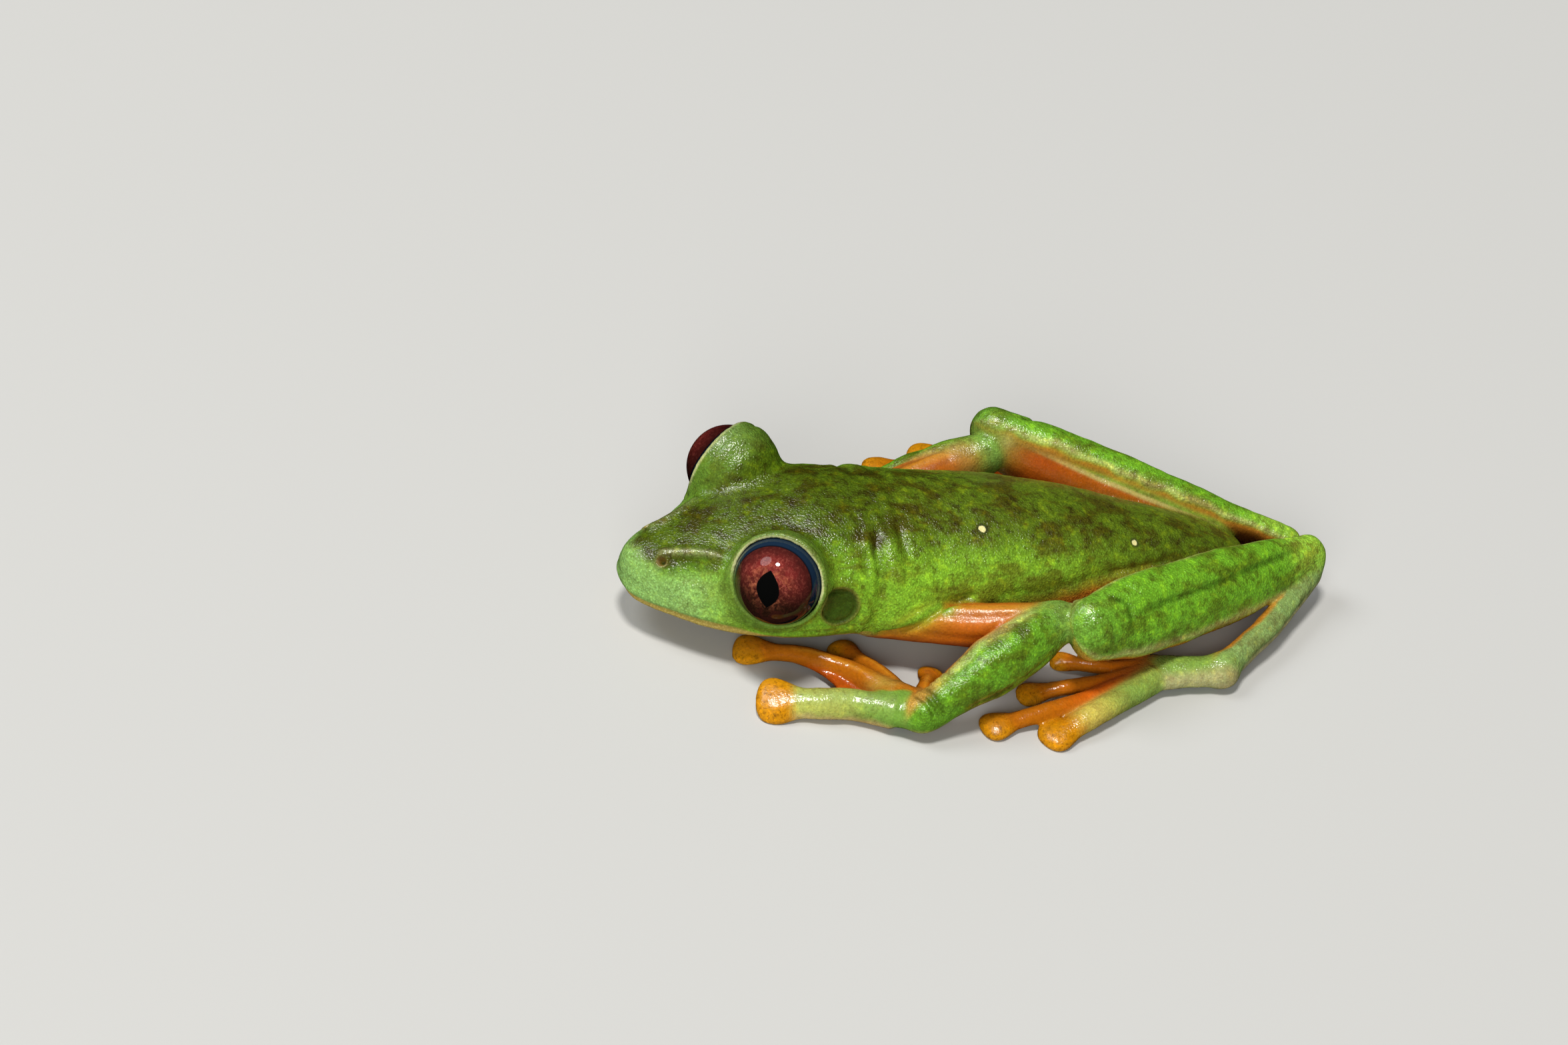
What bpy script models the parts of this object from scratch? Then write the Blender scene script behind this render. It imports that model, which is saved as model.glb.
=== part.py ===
"""A leaf frog of the red-eyed kind at rest, life size, as a still display model.

The frog crouches on a flat surface with its hands drawn in beside the jaw, its
shanks folded over its thighs and its heels meeting behind the vent.
The shapes are worked out in millimetres, and the finished parts are brought to metres by MM.
The snout points along -Y, the frog's left side is +X, and Z = 0 is the floor.
"""
import math

import bmesh
import bpy
from mathutils import Matrix, Vector

MM = 0.001
GAP = 0.3            # clear space kept between neighbouring parts
FLOOR = 0.0          # level of every foot, pad and belly flat

# Driving dimensions of the body: snout at -28, vent at +28 (56 mm long).
SNOUT_Y = -28.0
VENT_Y = 28.6
SNOUT_Z = 5.3
NECK_FRONT_Y = -9.3
NECK_BACK_Y = -5.6
PELVIS_Y = 14.5
MOUTH_FRONT_Z = 3.55     # level of the closed mouth at the snout
MOUTH_BACK_Z = 4.7       # level of the closed mouth at the jaw's corner
MOUTH_BACK_Y = -11.2
MOUTH_GAP = 0.3
MOUTH_LEAD = 3.0         # the wedge that parts the jaws starts this far before the snout
MOUTH_REACH = 14.0       # and reaches this far to the sides and down
HEAD_STATIONS = (SNOUT_Y, -27.75, -27.3, -26.5, -25.3)    # close rings at the snout's tip
HEAD_BACK_START = -23.8
RUMP_STATIONS = (27.0, 28.2, VENT_Y)                      # and at the rump's
SNOUT_TIP = (0.0, SNOUT_Y - 0.12, SNOUT_Z)
RUMP_TIP = (0.0, VENT_Y + 0.15, 3.4)

# Stations (y, value) of the body's outline; each profile is a smooth curve through them.
HALF_WIDTH = ((-28.0, 0.5), (-27.75, 1.35), (-27.0, 2.5), (-24.8, 4.45), (-21.9, 6.4), (-18.7, 7.9),
              (-15.0, 8.7), (-12.0, 8.95), (-8.0, 8.7), (-3.0, 8.3), (5.0, 7.7), (12.0, 6.6),
              (19.5, 4.9), (25.0, 3.6), (28.2, 1.8), (28.6, 0.8))
TOP = ((-28.0, 5.6), (-27.75, 6.4), (-27.0, 7.1), (-24.8, 8.0), (-21.9, 9.2), (-18.7, 10.2),
       (-15.0, 11.2), (-12.0, 11.8), (-8.0, 11.7), (-3.0, 11.3), (5.0, 10.6), (12.0, 9.3),
       (19.5, 7.4), (25.0, 5.7), (28.2, 4.3), (28.6, 3.7))
BOTTOM = ((-28.0, 4.9), (-27.75, 3.7), (-27.0, 2.9), (-24.8, 2.4), (-21.9, 2.1), (-18.7, 1.95),
          (-14.0, 1.9), (-9.0, 1.75), (-5.0, 1.1), (-1.0, 0.1), (2.0, -0.12), (14.0, -0.12), (20.0, 0.3),
          (25.0, 1.2), (28.2, 2.4), (28.6, 2.9))
WIDE_LEVEL = ((-28.0, 5.2), (-27.0, 4.2), (-24.0, 4.1), (-16.0, 4.6), (-11.0, 5.2), (5.0, 4.8),
              (14.0, 4.4), (22.0, 3.8), (28.6, 3.5))
BACK_ROUND = 2.1     # superellipse exponent of the section above its widest level
BELLY_ROUND = 2.5    # and below it
BODY_SIDES = 24

# Eyes: bulging balls that look outward, forward and a little up.
EYE_CENTRE = (7.4, -17.0, 9.0)
EYE_RADIUS = 3.68
EYE_AXIS = (0.756, -0.533, 0.381)
LID_AXIS = (0.77, -0.55, 0.27)
LID_RADIUS = 4.2
LID_EDGE = 0.4          # the lids stop this far outward of the eye's centre

# Eardrum: a thin round plate let into the side of the head.
EAR_Y = -11.7
EAR_Z = 6.9
EAR_RADIUS = 1.58
EAR_HALF_THICKNESS = 0.5
EAR_SINK = 0.25         # the plate's middle lies this far under the skin
EAR_PROBE = 0.3         # distance over which the skin's slope is read there

# Limbs: joint centres and (half-width, half-height) girths, given for a limb on the +X side.
ARM = {
    "left": {"shoulder": (6.4, -7.5, 3.9), "elbow": (11.6, 6.6, 6.5), "wrist": (17.0, -5.9, 2.1)},
    "right": {"shoulder": (6.4, -7.5, 3.9), "elbow": (11.0, 7.6, 6.7), "wrist": (11.4, -4.2, 1.9)},
}
FOREARM_BOW = {"left": (0.3, 0.0, 0.4), "right": (-0.3, 0.0, -0.4)}   # bend of each forearm at its middle
HAND_TURN = {"left": 0.0, "right": 16.0}     # how far each hand turns outward at the wrist (degrees)
UPPER_ARM_GIRTH = ((1.75, 1.75), (1.85, 1.85), (1.75, 1.75))
UPPER_ARM_BOW = (0.4, 0.0, -0.3)
FOREARM_GIRTH = ((1.7, 1.9), (2.4, 2.6), (2.4, 2.6), (1.9, 2.0), (1.6, 1.7))
LEG = {
    "left": {"knee": (13.4, 8.9, 7.1), "heel": (1.7, 34.0, 4.2), "hip": (3.3, 26.2, 2.6)},
    "right": {"knee": (12.9, 8.7, 7.7), "heel": (1.9, 33.4, 2.7), "hip": (3.3, 26.2, 2.6)},
}
SHANK_BOW = {"left": (0.3, 0.3, 0.1), "right": (0.0, 0.3, -0.2)}    # bend of each shank at its middle
SHANK_GIRTH = ((2.0, 2.7), (2.1, 3.5), (2.0, 3.45), (1.75, 3.25), (1.6, 2.6), (1.5, 1.8))
SHANK_LEAN = 38.0        # the shank's section leans its top inward over the thigh (degrees)
THIGH_GIRTH = ((1.9, 2.2), (2.3, 2.7), (2.6, 2.9), (2.3, 2.6))
THIGH_START = (-1.5, 0.5, -0.7)      # the thigh's front end, from the knee
THIGH_BOW = (-0.4, 0.0, -0.2)
ANKLE = (13.0, 22.2, 1.45)     # where the tarsus bends into the foot
TARSUS_START = (0.9, 0.0, -1.3)      # the tarsus's rear end, from the heel
TARSUS_BOW = (0.4, 0.4, 0.0)
TARSUS_GIRTH = ((1.2, 1.4), (1.1, 1.25), (1.1, 1.25), (1.3, 1.45))

# Hands and feet, on the floor.
DIGIT_LEVEL = 1.15       # height of the middle of a finger or toe
DISC_THICKNESS = (0.15, 0.42)     # half-thickness of a disc: a constant and a share of its half-width
DISC_PRESS = 0.12        # how far a disc is pressed into its flat
PALM_CENTRE = (-1.6, -1.3, 1.55)  # from the point on the floor under the wrist
PALM_AXIS = (-0.5, -0.8, -0.1)
PALM_SIZE = (2.3, 1.35, 2.9)
KNUCKLE_LEVEL = 1.4
# Fingers from the innermost outward, as offsets from the wrist.
FINGERS = (
    # root, bends, disc centre, base half-width, neck half-width, disc half-width, disc roll
    ((-1.9, 0.4), ((-4.4, 1.6),), (-6.6, 2.9), 1.0, 0.65, 1.15, 0.0),
    ((-2.6, -0.9), ((-6.4, -1.9),), (-10.2, -3.6), 1.0, 0.7, 1.45, 0.0),
    ((-2.9, -1.8), ((-6.5, -4.0), (-9.0, -7.6)), (-10.8, -11.6), 1.15, 0.8, 1.75, -8.0),
    ((-1.1, -2.2), ((-2.6, -5.2), (-3.0, -8.4)), (-3.7, -11.2), 1.3, 1.15, 2.2, -24.0),
)
# Toes from the innermost outward.
TOES = (
    ((11.6, 16.6), ((10.4, 14.0),), (8.9, 11.9), 0.9, 0.6, 1.1, 0.0),
    ((12.0, 16.2), ((11.6, 12.5),), (9.6, 9.2), 0.9, 0.65, 1.15, 0.0),
    ((12.4, 15.8), ((13.4, 11.5), (13.7, 8.0)), (13.5, 5.0), 1.0, 0.7, 1.35, 0.0),
    ((12.9, 15.6), ((14.8, 11.0), (16.3, 6.2)), (17.2, 0.8), 1.1, 0.8, 1.6, 0.0),
    ((13.3, 15.8), ((15.4, 12.4), (17.4, 9.0)), (18.8, 5.6), 1.2, 0.9, 1.6, 0.0),
)
SOLE = (12.7, 16.8, 1.25)         # where the toes spread from the foot
METATARSUS_GIRTH = ((1.5, 1.4), (1.5, 1.25), (1.75, 1.2))
HAND_WEBS = (0.35, 0.45, 0.7)     # how far each web runs along its fingers
FOOT_WEBS = (0.35, 0.4, 0.5, 0.62)
WEB_THICKNESS = 0.7
WEB_LEVEL = 0.75         # height of the first web's middle; each next web lies WEB_STEP higher
WEB_STEP = 0.06
WEB_HOLLOW = 0.4         # share by which a web's free edge is drawn back between its digits
WEB_CELLS = 3            # faces along each side of a web

CAP_ANGLE = math.radians(50)      # where the ring that rounds off a limb's end lies

GREEN = (0.13, 0.30, 0.03)
ORANGE = (0.80, 0.27, 0.03)
CREAM = (0.75, 0.70, 0.45)
RED = (0.20, 0.012, 0.012)
OLIVE = (0.10, 0.14, 0.05)


# ------------------------------------------------------------------ small tools

def smooth(stations, t):
    """Value at t on the monotone cubic through (t, value) stations."""
    xs = [s[0] for s in stations]
    ys = [s[1] for s in stations]
    if t <= xs[0]:
        return ys[0]
    if t >= xs[-1]:
        return ys[-1]
    slopes = [(ys[i + 1] - ys[i]) / (xs[i + 1] - xs[i]) for i in range(len(xs) - 1)]
    tangents = [slopes[0]]
    for a, b in zip(slopes, slopes[1:]):
        tangents.append(2 * a * b / (a + b) if a * b > 0 else 0.0)
    tangents.append(slopes[-1])
    i = max(k for k in range(len(xs) - 1) if xs[k] <= t)
    h = xs[i + 1] - xs[i]
    u = (t - xs[i]) / h
    return ((2 * u**3 - 3 * u**2 + 1) * ys[i] + (u**3 - 2 * u**2 + u) * h * tangents[i]
            + (3 * u**2 - 2 * u**3) * ys[i + 1] + (u**3 - u**2) * h * tangents[i + 1])


def through(points, t):
    """Point at t in 0..1 on the smooth curve through the points, measured along their chords."""
    points = [Vector(p) for p in points]
    marks = [0.0]
    for a, b in zip(points, points[1:]):
        marks.append(marks[-1] + (b - a).length)
    at = t * marks[-1]
    i = min(max(k for k in range(len(marks)) if marks[k] <= at + 1e-9), len(points) - 2)
    before = points[i - 1] if i > 0 else points[i] * 2 - points[i + 1]
    after = points[i + 2] if i + 2 < len(points) else points[i + 1] * 2 - points[i]
    a, b = points[i], points[i + 1]
    u = (at - marks[i]) / (marks[i + 1] - marks[i])
    step = marks[i + 1] - marks[i]
    leave = (b - before) / ((b - a).length + (a - before).length) * step
    arrive = (after - a) / ((b - a).length + (after - b).length) * step
    return (a * (2 * u**3 - 3 * u**2 + 1) + leave * (u**3 - 2 * u**2 + u)
            + b * (3 * u**2 - 2 * u**3) + arrive * (u**3 - u**2))


def material(name, colour, roughness):
    mat = bpy.data.materials.new(name)
    mat.use_nodes = True
    shader = mat.node_tree.nodes["Principled BSDF"]
    shader.inputs["Base Color"].default_value = (*colour, 1.0)
    shader.inputs["Roughness"].default_value = roughness
    return mat


def add_object(name, mesh, mat, collection):
    obj = bpy.data.objects.new(name, mesh)
    if mat is not None:
        mesh.materials.append(mat)
    collection.objects.link(obj)
    return obj


def face_out(bm):
    """Turn a closed mesh's faces outward."""
    bmesh.ops.recalc_face_normals(bm, faces=bm.faces)
    if bm.calc_volume(signed=True) < 0:
        bmesh.ops.reverse_faces(bm, faces=bm.faces)


def finished(name, bm):
    """Mesh made from a bmesh, which is freed."""
    mesh = bpy.data.meshes.new(name)
    bm.to_mesh(mesh)
    bm.free()
    return mesh


def loft(name, rings, mat, collection, tips=(None, None)):
    """Closed body through rings of equal count; an end is a point where a tip is given, else flat."""
    bm = bmesh.new()
    loops = [[bm.verts.new(p) for p in ring] for ring in rings]
    count = len(loops[0])
    for a, b in zip(loops, loops[1:]):
        for i in range(count):
            bm.faces.new((a[i], a[(i + 1) % count], b[(i + 1) % count], b[i]))
    for ring, tip in ((loops[0], tips[0]), (loops[-1], tips[1])):
        if tip is None:
            bm.faces.new(ring)
            continue
        point = bm.verts.new(tip)
        for i in range(count):
            bm.faces.new((ring[i], ring[(i + 1) % count], point))
    face_out(bm)
    mesh = finished(name, bm)
    mesh.shade_smooth()
    return add_object(name, mesh, mat, collection)


def ellipsoid(name, centre, axes, half_sizes, mat, collection, segments, rings):
    """Ellipsoid from a UV sphere whose own X, Y and Z lie along the three axes given."""
    bm = bmesh.new()
    bmesh.ops.create_uvsphere(bm, u_segments=segments, v_segments=rings, radius=1.0)
    frame = Matrix([Vector(a).normalized() * s for a, s in zip(axes, half_sizes)]).transposed()
    bm.transform(Matrix.Translation(Vector(centre)) @ frame.to_4x4())
    face_out(bm)
    mesh = finished(name, bm)
    mesh.shade_smooth()
    return add_object(name, mesh, mat, collection)


def frame_along(axis, up=(0.0, 0.0, 1.0)):
    """Three square axes: sideways, upward and along the given direction."""
    along = Vector(axis).normalized()
    side = Vector(up).cross(along).normalized()
    return side, along.cross(side), along


def mirrored(point, side):
    """A point or direction given for the frog's left side (+X), taken to the side asked for."""
    return Vector((point[0] * side, point[1], point[2]))


def boolean(obj, tool, operation):
    """Apply an exact Boolean to obj's mesh."""
    modifier = obj.modifiers.new(operation.lower(), "BOOLEAN")
    modifier.operation = operation
    modifier.object = tool
    modifier.solver = "EXACT"
    depsgraph = bpy.context.evaluated_depsgraph_get()
    depsgraph.update()
    mesh = bpy.data.meshes.new_from_object(obj.evaluated_get(depsgraph))
    obj.modifiers.clear()
    old = obj.data
    obj.data = mesh
    bpy.data.meshes.remove(old)


def consume(obj, tool, operation):
    """Boolean with a tool that isn't needed afterwards."""
    boolean(obj, tool, operation)
    bpy.data.objects.remove(tool)


def clear_of(obj, neighbour, gap=GAP):
    """Cut obj back so that it stays the gap away from its neighbour."""
    bm = bmesh.new()
    bm.from_mesh(neighbour.data)
    bmesh.ops.triangulate(bm, faces=bm.faces)
    bm.normal_update()
    moves = [(v, v.normal * gap) for v in bm.verts]
    for vert, move in moves:
        vert.co += move
    tool = add_object("clearance", finished("clearance", bm), None, cutters)
    consume(obj, tool, "DIFFERENCE")
    keep_largest(obj)


def keep_largest(obj):
    """Drop the small scraps that a cut may leave beside a part."""
    bm = bmesh.new()
    bm.from_mesh(obj.data)
    waiting = set(bm.verts)
    bodies = []
    while waiting:
        body, edge = set(), [waiting.pop()]
        while edge:
            vert = edge.pop()
            body.add(vert)
            near = {e.other_vert(vert) for e in vert.link_edges} & waiting
            waiting -= near
            edge.extend(near)
        bodies.append(body)
    largest = max(bodies, key=len)
    bmesh.ops.delete(bm, geom=[v for v in bm.verts if v not in largest], context="VERTS")
    bm.to_mesh(obj.data)
    bm.free()


def placed(name, form, side, place, mat):
    """A copy of a form made for the +X side, mirrored for the other side and set in place."""
    mesh = form.data.copy()
    mesh.materials.clear()
    mesh.transform(place @ Matrix.Diagonal((side, 1.0, 1.0, 1.0)))
    if side < 0:
        mesh.flip_normals()
    return add_object(name, mesh, mat, parts)


def slice_off(obj, point, normal):
    """Remove what lies beyond a plane and close the cut with a flat face."""
    bm = bmesh.new()
    bm.from_mesh(obj.data)
    bmesh.ops.bisect_plane(bm, geom=bm.verts[:] + bm.edges[:] + bm.faces[:], dist=1e-5,
                           plane_co=Vector(point), plane_no=Vector(normal), clear_outer=True)
    rim = [e for e in bm.edges if e.is_boundary]
    bmesh.ops.holes_fill(bm, edges=rim)
    face_out(bm)
    bm.to_mesh(obj.data)
    bm.free()


def stand(obj):
    """Give a part that reaches the floor its small flat."""
    slice_off(obj, (0.0, 0.0, FLOOR), (0.0, 0.0, -1.0))


# ------------------------------------------------------------------ body

def body_section(y):
    """Outline of the body across its length at y."""
    half_width = smooth(HALF_WIDTH, y)
    top, bottom, level = smooth(TOP, y), smooth(BOTTOM, y), smooth(WIDE_LEVEL, y)
    ring = []
    for i in range(BODY_SIDES):
        angle = 2 * math.pi * i / BODY_SIDES
        cos, sin = math.cos(angle), math.sin(angle)
        power = 2.0 / (BACK_ROUND if sin >= 0 else BELLY_ROUND)
        reach = top - level if sin >= 0 else level - bottom
        ring.append((half_width * math.copysign(abs(cos) ** power, cos), y,
                     level + reach * math.copysign(abs(sin) ** power, sin)))
    return ring


def body_length(name, stations, mat, front_tip=None, back_tip=None):
    """One length of the body, through its sections at the stations."""
    return loft(name, [body_section(y) for y in stations], mat, parts, (front_tip, back_tip))


def steps(start, end, count):
    """Evenly spaced values from start to end."""
    return [start + (end - start) * i / (count - 1) for i in range(count)]


def flank(y, z):
    """Half-width of the body's surface at y and height z above its widest level."""
    top, level = smooth(TOP, y), smooth(WIDE_LEVEL, y)
    rise = (z - level) / (top - level)
    return smooth(HALF_WIDTH, y) * (1 - rise ** BACK_ROUND) ** (1 / BACK_ROUND)


def make_head(skins):
    """Upper head with its eye sockets, and the lower jaw under it."""
    stations = list(HEAD_STATIONS) + steps(HEAD_BACK_START, NECK_FRONT_Y - GAP / 2, 9)
    head = body_length("head", stations, skins["green"], front_tip=SNOUT_TIP)
    for side in (1, -1):
        make_eye_socket(head, side)
        make_ear(head, side, skins["ear"])
    jaw = make_lower_jaw(head, skins["cream"])
    return head, jaw


def make_eye_socket(head, side):
    """Raise the lids round one eye, cut them to their open edge and clear the ball."""
    centre = mirrored(EYE_CENTRE, side)
    outward = mirrored(LID_AXIS, side).normalized()
    across = frame_along(outward)
    bump = ellipsoid("lid", centre, across, (LID_RADIUS,) * 3, None, cutters, 16, 9)
    slice_off(bump, centre + outward * LID_EDGE, outward)
    consume(head, bump, "UNION")
    ball = ellipsoid("socket", centre, frame_along(mirrored(EYE_AXIS, side)),
                     (EYE_RADIUS + GAP,) * 3, None, cutters, 16, 8)
    consume(head, ball, "DIFFERENCE")


def make_eye(side, name, mat):
    """Eyeball, as a ball."""
    ellipsoid(name, mirrored(EYE_CENTRE, side), frame_along(mirrored(EYE_AXIS, side)),
              (EYE_RADIUS,) * 3, mat, parts, 14, 8)


def make_ear(head, side, mat):
    """Eardrum plate and the shallow recess that holds it."""
    here = flank(EAR_Y, EAR_Z)
    slope_y = (flank(EAR_Y + EAR_PROBE, EAR_Z) - here) / EAR_PROBE
    slope_z = (flank(EAR_Y, EAR_Z + EAR_PROBE) - here) / EAR_PROBE
    outward = mirrored((1.0, -slope_y, -slope_z), side).normalized()
    centre = mirrored((here, EAR_Y, EAR_Z), side) - outward * EAR_SINK
    axes = frame_along(outward)
    room = (EAR_RADIUS + GAP, EAR_RADIUS + GAP, EAR_HALF_THICKNESS + GAP)
    recess = ellipsoid("recess", centre, axes, room, None, cutters, 14, 6)
    consume(head, recess, "DIFFERENCE")
    name = "tympanum_left" if side > 0 else "tympanum_right"
    ellipsoid(name, centre, axes, (EAR_RADIUS, EAR_RADIUS, EAR_HALF_THICKNESS), mat, parts, 12, 6)


def make_lower_jaw(head, mat):
    """Part the lower jaw from the head along the closed mouth."""
    front = Vector((0.0, SNOUT_Y, MOUTH_FRONT_Z))
    back = Vector((0.0, MOUTH_BACK_Y, MOUTH_BACK_Z))
    normal = Vector((1.0, 0.0, 0.0)).cross(back - front).normalized()
    half = normal * (MOUTH_GAP / 2)
    jaw = add_object("lower_jaw", head.data.copy(), None, parts)
    jaw.data.materials.clear()
    jaw.data.materials.append(mat)
    slice_off(jaw, front - half, normal)
    slice_off(jaw, (0.0, MOUTH_BACK_Y, 0.0), (0.0, 1.0, 0.0))
    keep = add_object("mouth", jaw_block(front + half, back + half), None, cutters)
    consume(head, keep, "DIFFERENCE")
    return jaw


def jaw_block(front, back):
    """Wedge that holds all of the head below the mouth's upper edge and before the jaw's corner."""
    slope = (back.z - front.z) / (back.y - front.y)
    start = front.y - MOUTH_LEAD
    end = MOUTH_BACK_Y + GAP
    heights = (front.z + slope * (start - front.y), back.z + slope * GAP)
    bm = bmesh.new()
    bmesh.ops.create_cube(bm, size=1.0)
    for vert in bm.verts:
        y = end if vert.co.y > 0 else start
        top = heights[1] if vert.co.y > 0 else heights[0]
        vert.co = Vector((vert.co.x * 2 * MOUTH_REACH, y, top if vert.co.z > 0 else -MOUTH_REACH))
    return finished("mouth", bm)


# ------------------------------------------------------------------ limbs

def limb(name, path, girths, mat, lean=0.0, sides=10, rings=8, collection=None, blunt=False):
    """Limb along a smooth path, with an elliptical section of changing girth and rounded ends.

    A blunt limb starts with a flat end, which lies inside what it is joined to.
    """
    loops = []

    def ring(centre, along, half_width, half_height):
        side, upward, _ = frame_along(along)
        turn = Matrix.Rotation(math.radians(lean), 3, along)
        side, upward = turn @ side, turn @ upward
        return [centre + side * (half_width * math.cos(a)) + upward * (half_height * math.sin(a))
                for a in (2 * math.pi * k / sides for k in range(sides))]

    stretch = [i / (rings - 1) for i in range(rings)]
    centres = [through(path, t) for t in stretch]
    sizes = [even(girths, t) for t in stretch]
    for i, (centre, size) in enumerate(zip(centres, sizes)):
        along = (centres[min(i + 1, rings - 1)] - centres[max(i - 1, 0)]).normalized()
        loops.append(ring(centre, along, size[0], size[1]))
    first = (centres[1] - centres[0]).normalized()
    last = (centres[-1] - centres[-2]).normalized()
    swell, out = math.cos(CAP_ANGLE), math.sin(CAP_ANGLE)
    start, end = sizes[0], sizes[-1]
    loops.append(ring(centres[-1] + last * (end[0] * out), last, end[0] * swell, end[1] * swell))
    tips = [None, centres[-1] + last * end[0]]
    if not blunt:
        loops.insert(0, ring(centres[0] - first * (start[0] * out), first,
                             start[0] * swell, start[1] * swell))
        tips[0] = centres[0] - first * start[0]
    return loft(name, loops, mat, collection or parts, tips)


def even(values, t):
    """Value at t in 0..1 along evenly spaced vectors, read smoothly."""
    at = t * (len(values) - 1)
    return tuple(smooth([(i, v[axis]) for i, v in enumerate(values)], at) for axis in range(len(values[0])))


def bowed(a, b, bow, side):
    """Path from a to b whose middle is moved aside by the bow, given for the +X side."""
    return a, a.lerp(b, 0.5) + mirrored(bow, side), b


def make_arm(side_name, side, hand_form, skins):
    """Upper arm, forearm and hand of one side."""
    joints = {key: mirrored(value, side) for key, value in ARM[side_name].items()}
    shoulder, elbow, wrist = joints["shoulder"], joints["elbow"], joints["wrist"]
    upper = limb("upper_arm_" + side_name, bowed(shoulder, elbow, UPPER_ARM_BOW, side),
                 UPPER_ARM_GIRTH, skins["orange"])
    fore = limb("forearm_" + side_name, bowed(elbow, wrist, FOREARM_BOW[side_name], side),
                FOREARM_GIRTH, skins["green"])
    turn = Matrix.Rotation(math.radians(HAND_TURN[side_name] * side), 4, "Z")
    hand = placed("hand_" + side_name, hand_form, side,
                  Matrix.Translation((wrist.x, wrist.y, 0.0)) @ turn, skins["orange"])
    clear_of(upper, fore)
    clear_of(hand, fore)
    return upper, fore, hand


def hand_shape():
    """Palm, four fingers with discs and the webs between them, joined, with the wrist over the origin."""
    hand = ellipsoid("hand", PALM_CENTRE, frame_along(PALM_AXIS), PALM_SIZE, None, cutters, 10, 6)
    spread_digits(hand, FINGERS, KNUCKLE_LEVEL, HAND_WEBS)
    return hand


def spread_digits(piece, digits, root_level, web_reaches):
    """Join digits and the webs between them to a palm or a foot, and flatten them on the floor."""
    paths = []
    for root, bends, tip, base, neck, disc, roll in digits:
        path = [(*root, root_level)] + [(*bend, DIGIT_LEVEL) for bend in bends]
        path.append((*tip, disc_level(disc, roll)))
        paths.append(path)
        consume(piece, digit(path, base, neck, disc, roll), "UNION")
    for i, (one, two, reach) in enumerate(zip(paths, paths[1:], web_reaches)):
        consume(piece, web(one, two, reach, WEB_LEVEL + i * WEB_STEP), "UNION")
    stand(piece)


def disc_level(half_width, roll):
    """Height of a disc's centre at which it just presses on the floor."""
    lean = math.radians(roll)
    height = math.hypot(half_width * math.sin(lean), disc_height(half_width) * math.cos(lean))
    return height - DISC_PRESS


def disc_height(half_width):
    """Half the thickness of a finger's or toe's disc."""
    return DISC_THICKNESS[0] + DISC_THICKNESS[1] * half_width


def digit(path, base, neck, disc, roll):
    """Finger or toe: a slim tube that spreads into a flat round disc at its end."""
    thick = disc_height(disc)
    joint = (base + neck) / 2
    girths = ((base, base), (joint, joint), (neck, neck * 0.95), (neck, neck * 0.9),
              (disc * 0.92, thick * 0.95), (disc, thick))
    return limb("digit", path, girths, None, lean=roll, sides=7, rings=7, collection=cutters, blunt=True)


def web(one, two, reach, level):
    """Skin between two digits from their roots out to a share of their length, hollowed at its edge."""
    top, bottom = [], []
    for i in range(WEB_CELLS + 1):
        for j in range(WEB_CELLS + 1):
            share = j / WEB_CELLS
            t = reach * i / WEB_CELLS * (1 - WEB_HOLLOW * math.sin(math.pi * share))
            point = through(one, t).lerp(through(two, t), share)
            top.append((point.x, point.y, level + WEB_THICKNESS / 2))
            bottom.append((point.x, point.y, level - WEB_THICKNESS / 2))
    bm = bmesh.new()
    upper = [bm.verts.new(p) for p in top]
    lower = [bm.verts.new(p) for p in bottom]
    row = WEB_CELLS + 1
    for i in range(WEB_CELLS):
        for j in range(WEB_CELLS):
            cell = (i * row + j, i * row + j + 1, (i + 1) * row + j + 1, (i + 1) * row + j)
            bm.faces.new([upper[k] for k in cell])
            bm.faces.new([lower[k] for k in reversed(cell)])
    rim = ([j for j in range(WEB_CELLS)] + [i * row + WEB_CELLS for i in range(WEB_CELLS)]
           + [WEB_CELLS * row + j for j in range(WEB_CELLS, 0, -1)]
           + [i * row for i in range(WEB_CELLS, 0, -1)])
    for a, b in zip(rim, rim[1:] + rim[:1]):
        bm.faces.new((upper[a], upper[b], lower[b], lower[a]))
    face_out(bm)
    return add_object("web", finished("web", bm), None, cutters)


def make_leg(side_name, side, foot_form, skins):
    """Shank, thigh, tarsus and foot of one side."""
    joints = {key: mirrored(value, side) for key, value in LEG[side_name].items()}
    knee, heel, hip = joints["knee"], joints["heel"], joints["hip"]
    ankle = mirrored(ANKLE, side)
    shank = limb("shank_" + side_name, bowed(knee, heel, SHANK_BOW[side_name], side),
                 SHANK_GIRTH, skins["green"], lean=-side * SHANK_LEAN, sides=12, rings=9)
    thigh = limb("thigh_" + side_name, bowed(knee + mirrored(THIGH_START, side), hip, THIGH_BOW, side),
                 THIGH_GIRTH, skins["orange"])
    tarsus = limb("tarsus_" + side_name, bowed(heel + mirrored(TARSUS_START, side), ankle, TARSUS_BOW, side),
                  TARSUS_GIRTH, skins["green"], sides=9, rings=7)
    foot = placed("foot_" + side_name, foot_form, side, Matrix.Identity(4), skins["orange"])
    clear_of(thigh, shank)
    clear_of(tarsus, shank)
    clear_of(foot, tarsus)
    for piece in (shank, thigh, tarsus):
        stand(piece)
    return shank, thigh, tarsus, foot


def foot_shape():
    """Metatarsus, five toes with their discs and the webs between them, joined, for the +X side."""
    ankle, sole = Vector(ANKLE), Vector(SOLE)
    foot = limb("foot", (ankle, ankle.lerp(sole, 0.5), sole), METATARSUS_GIRTH, None,
                rings=5, collection=cutters)
    spread_digits(foot, TOES, DIGIT_LEVEL, FOOT_WEBS)
    return foot


# ------------------------------------------------------------------ the whole frog

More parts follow.
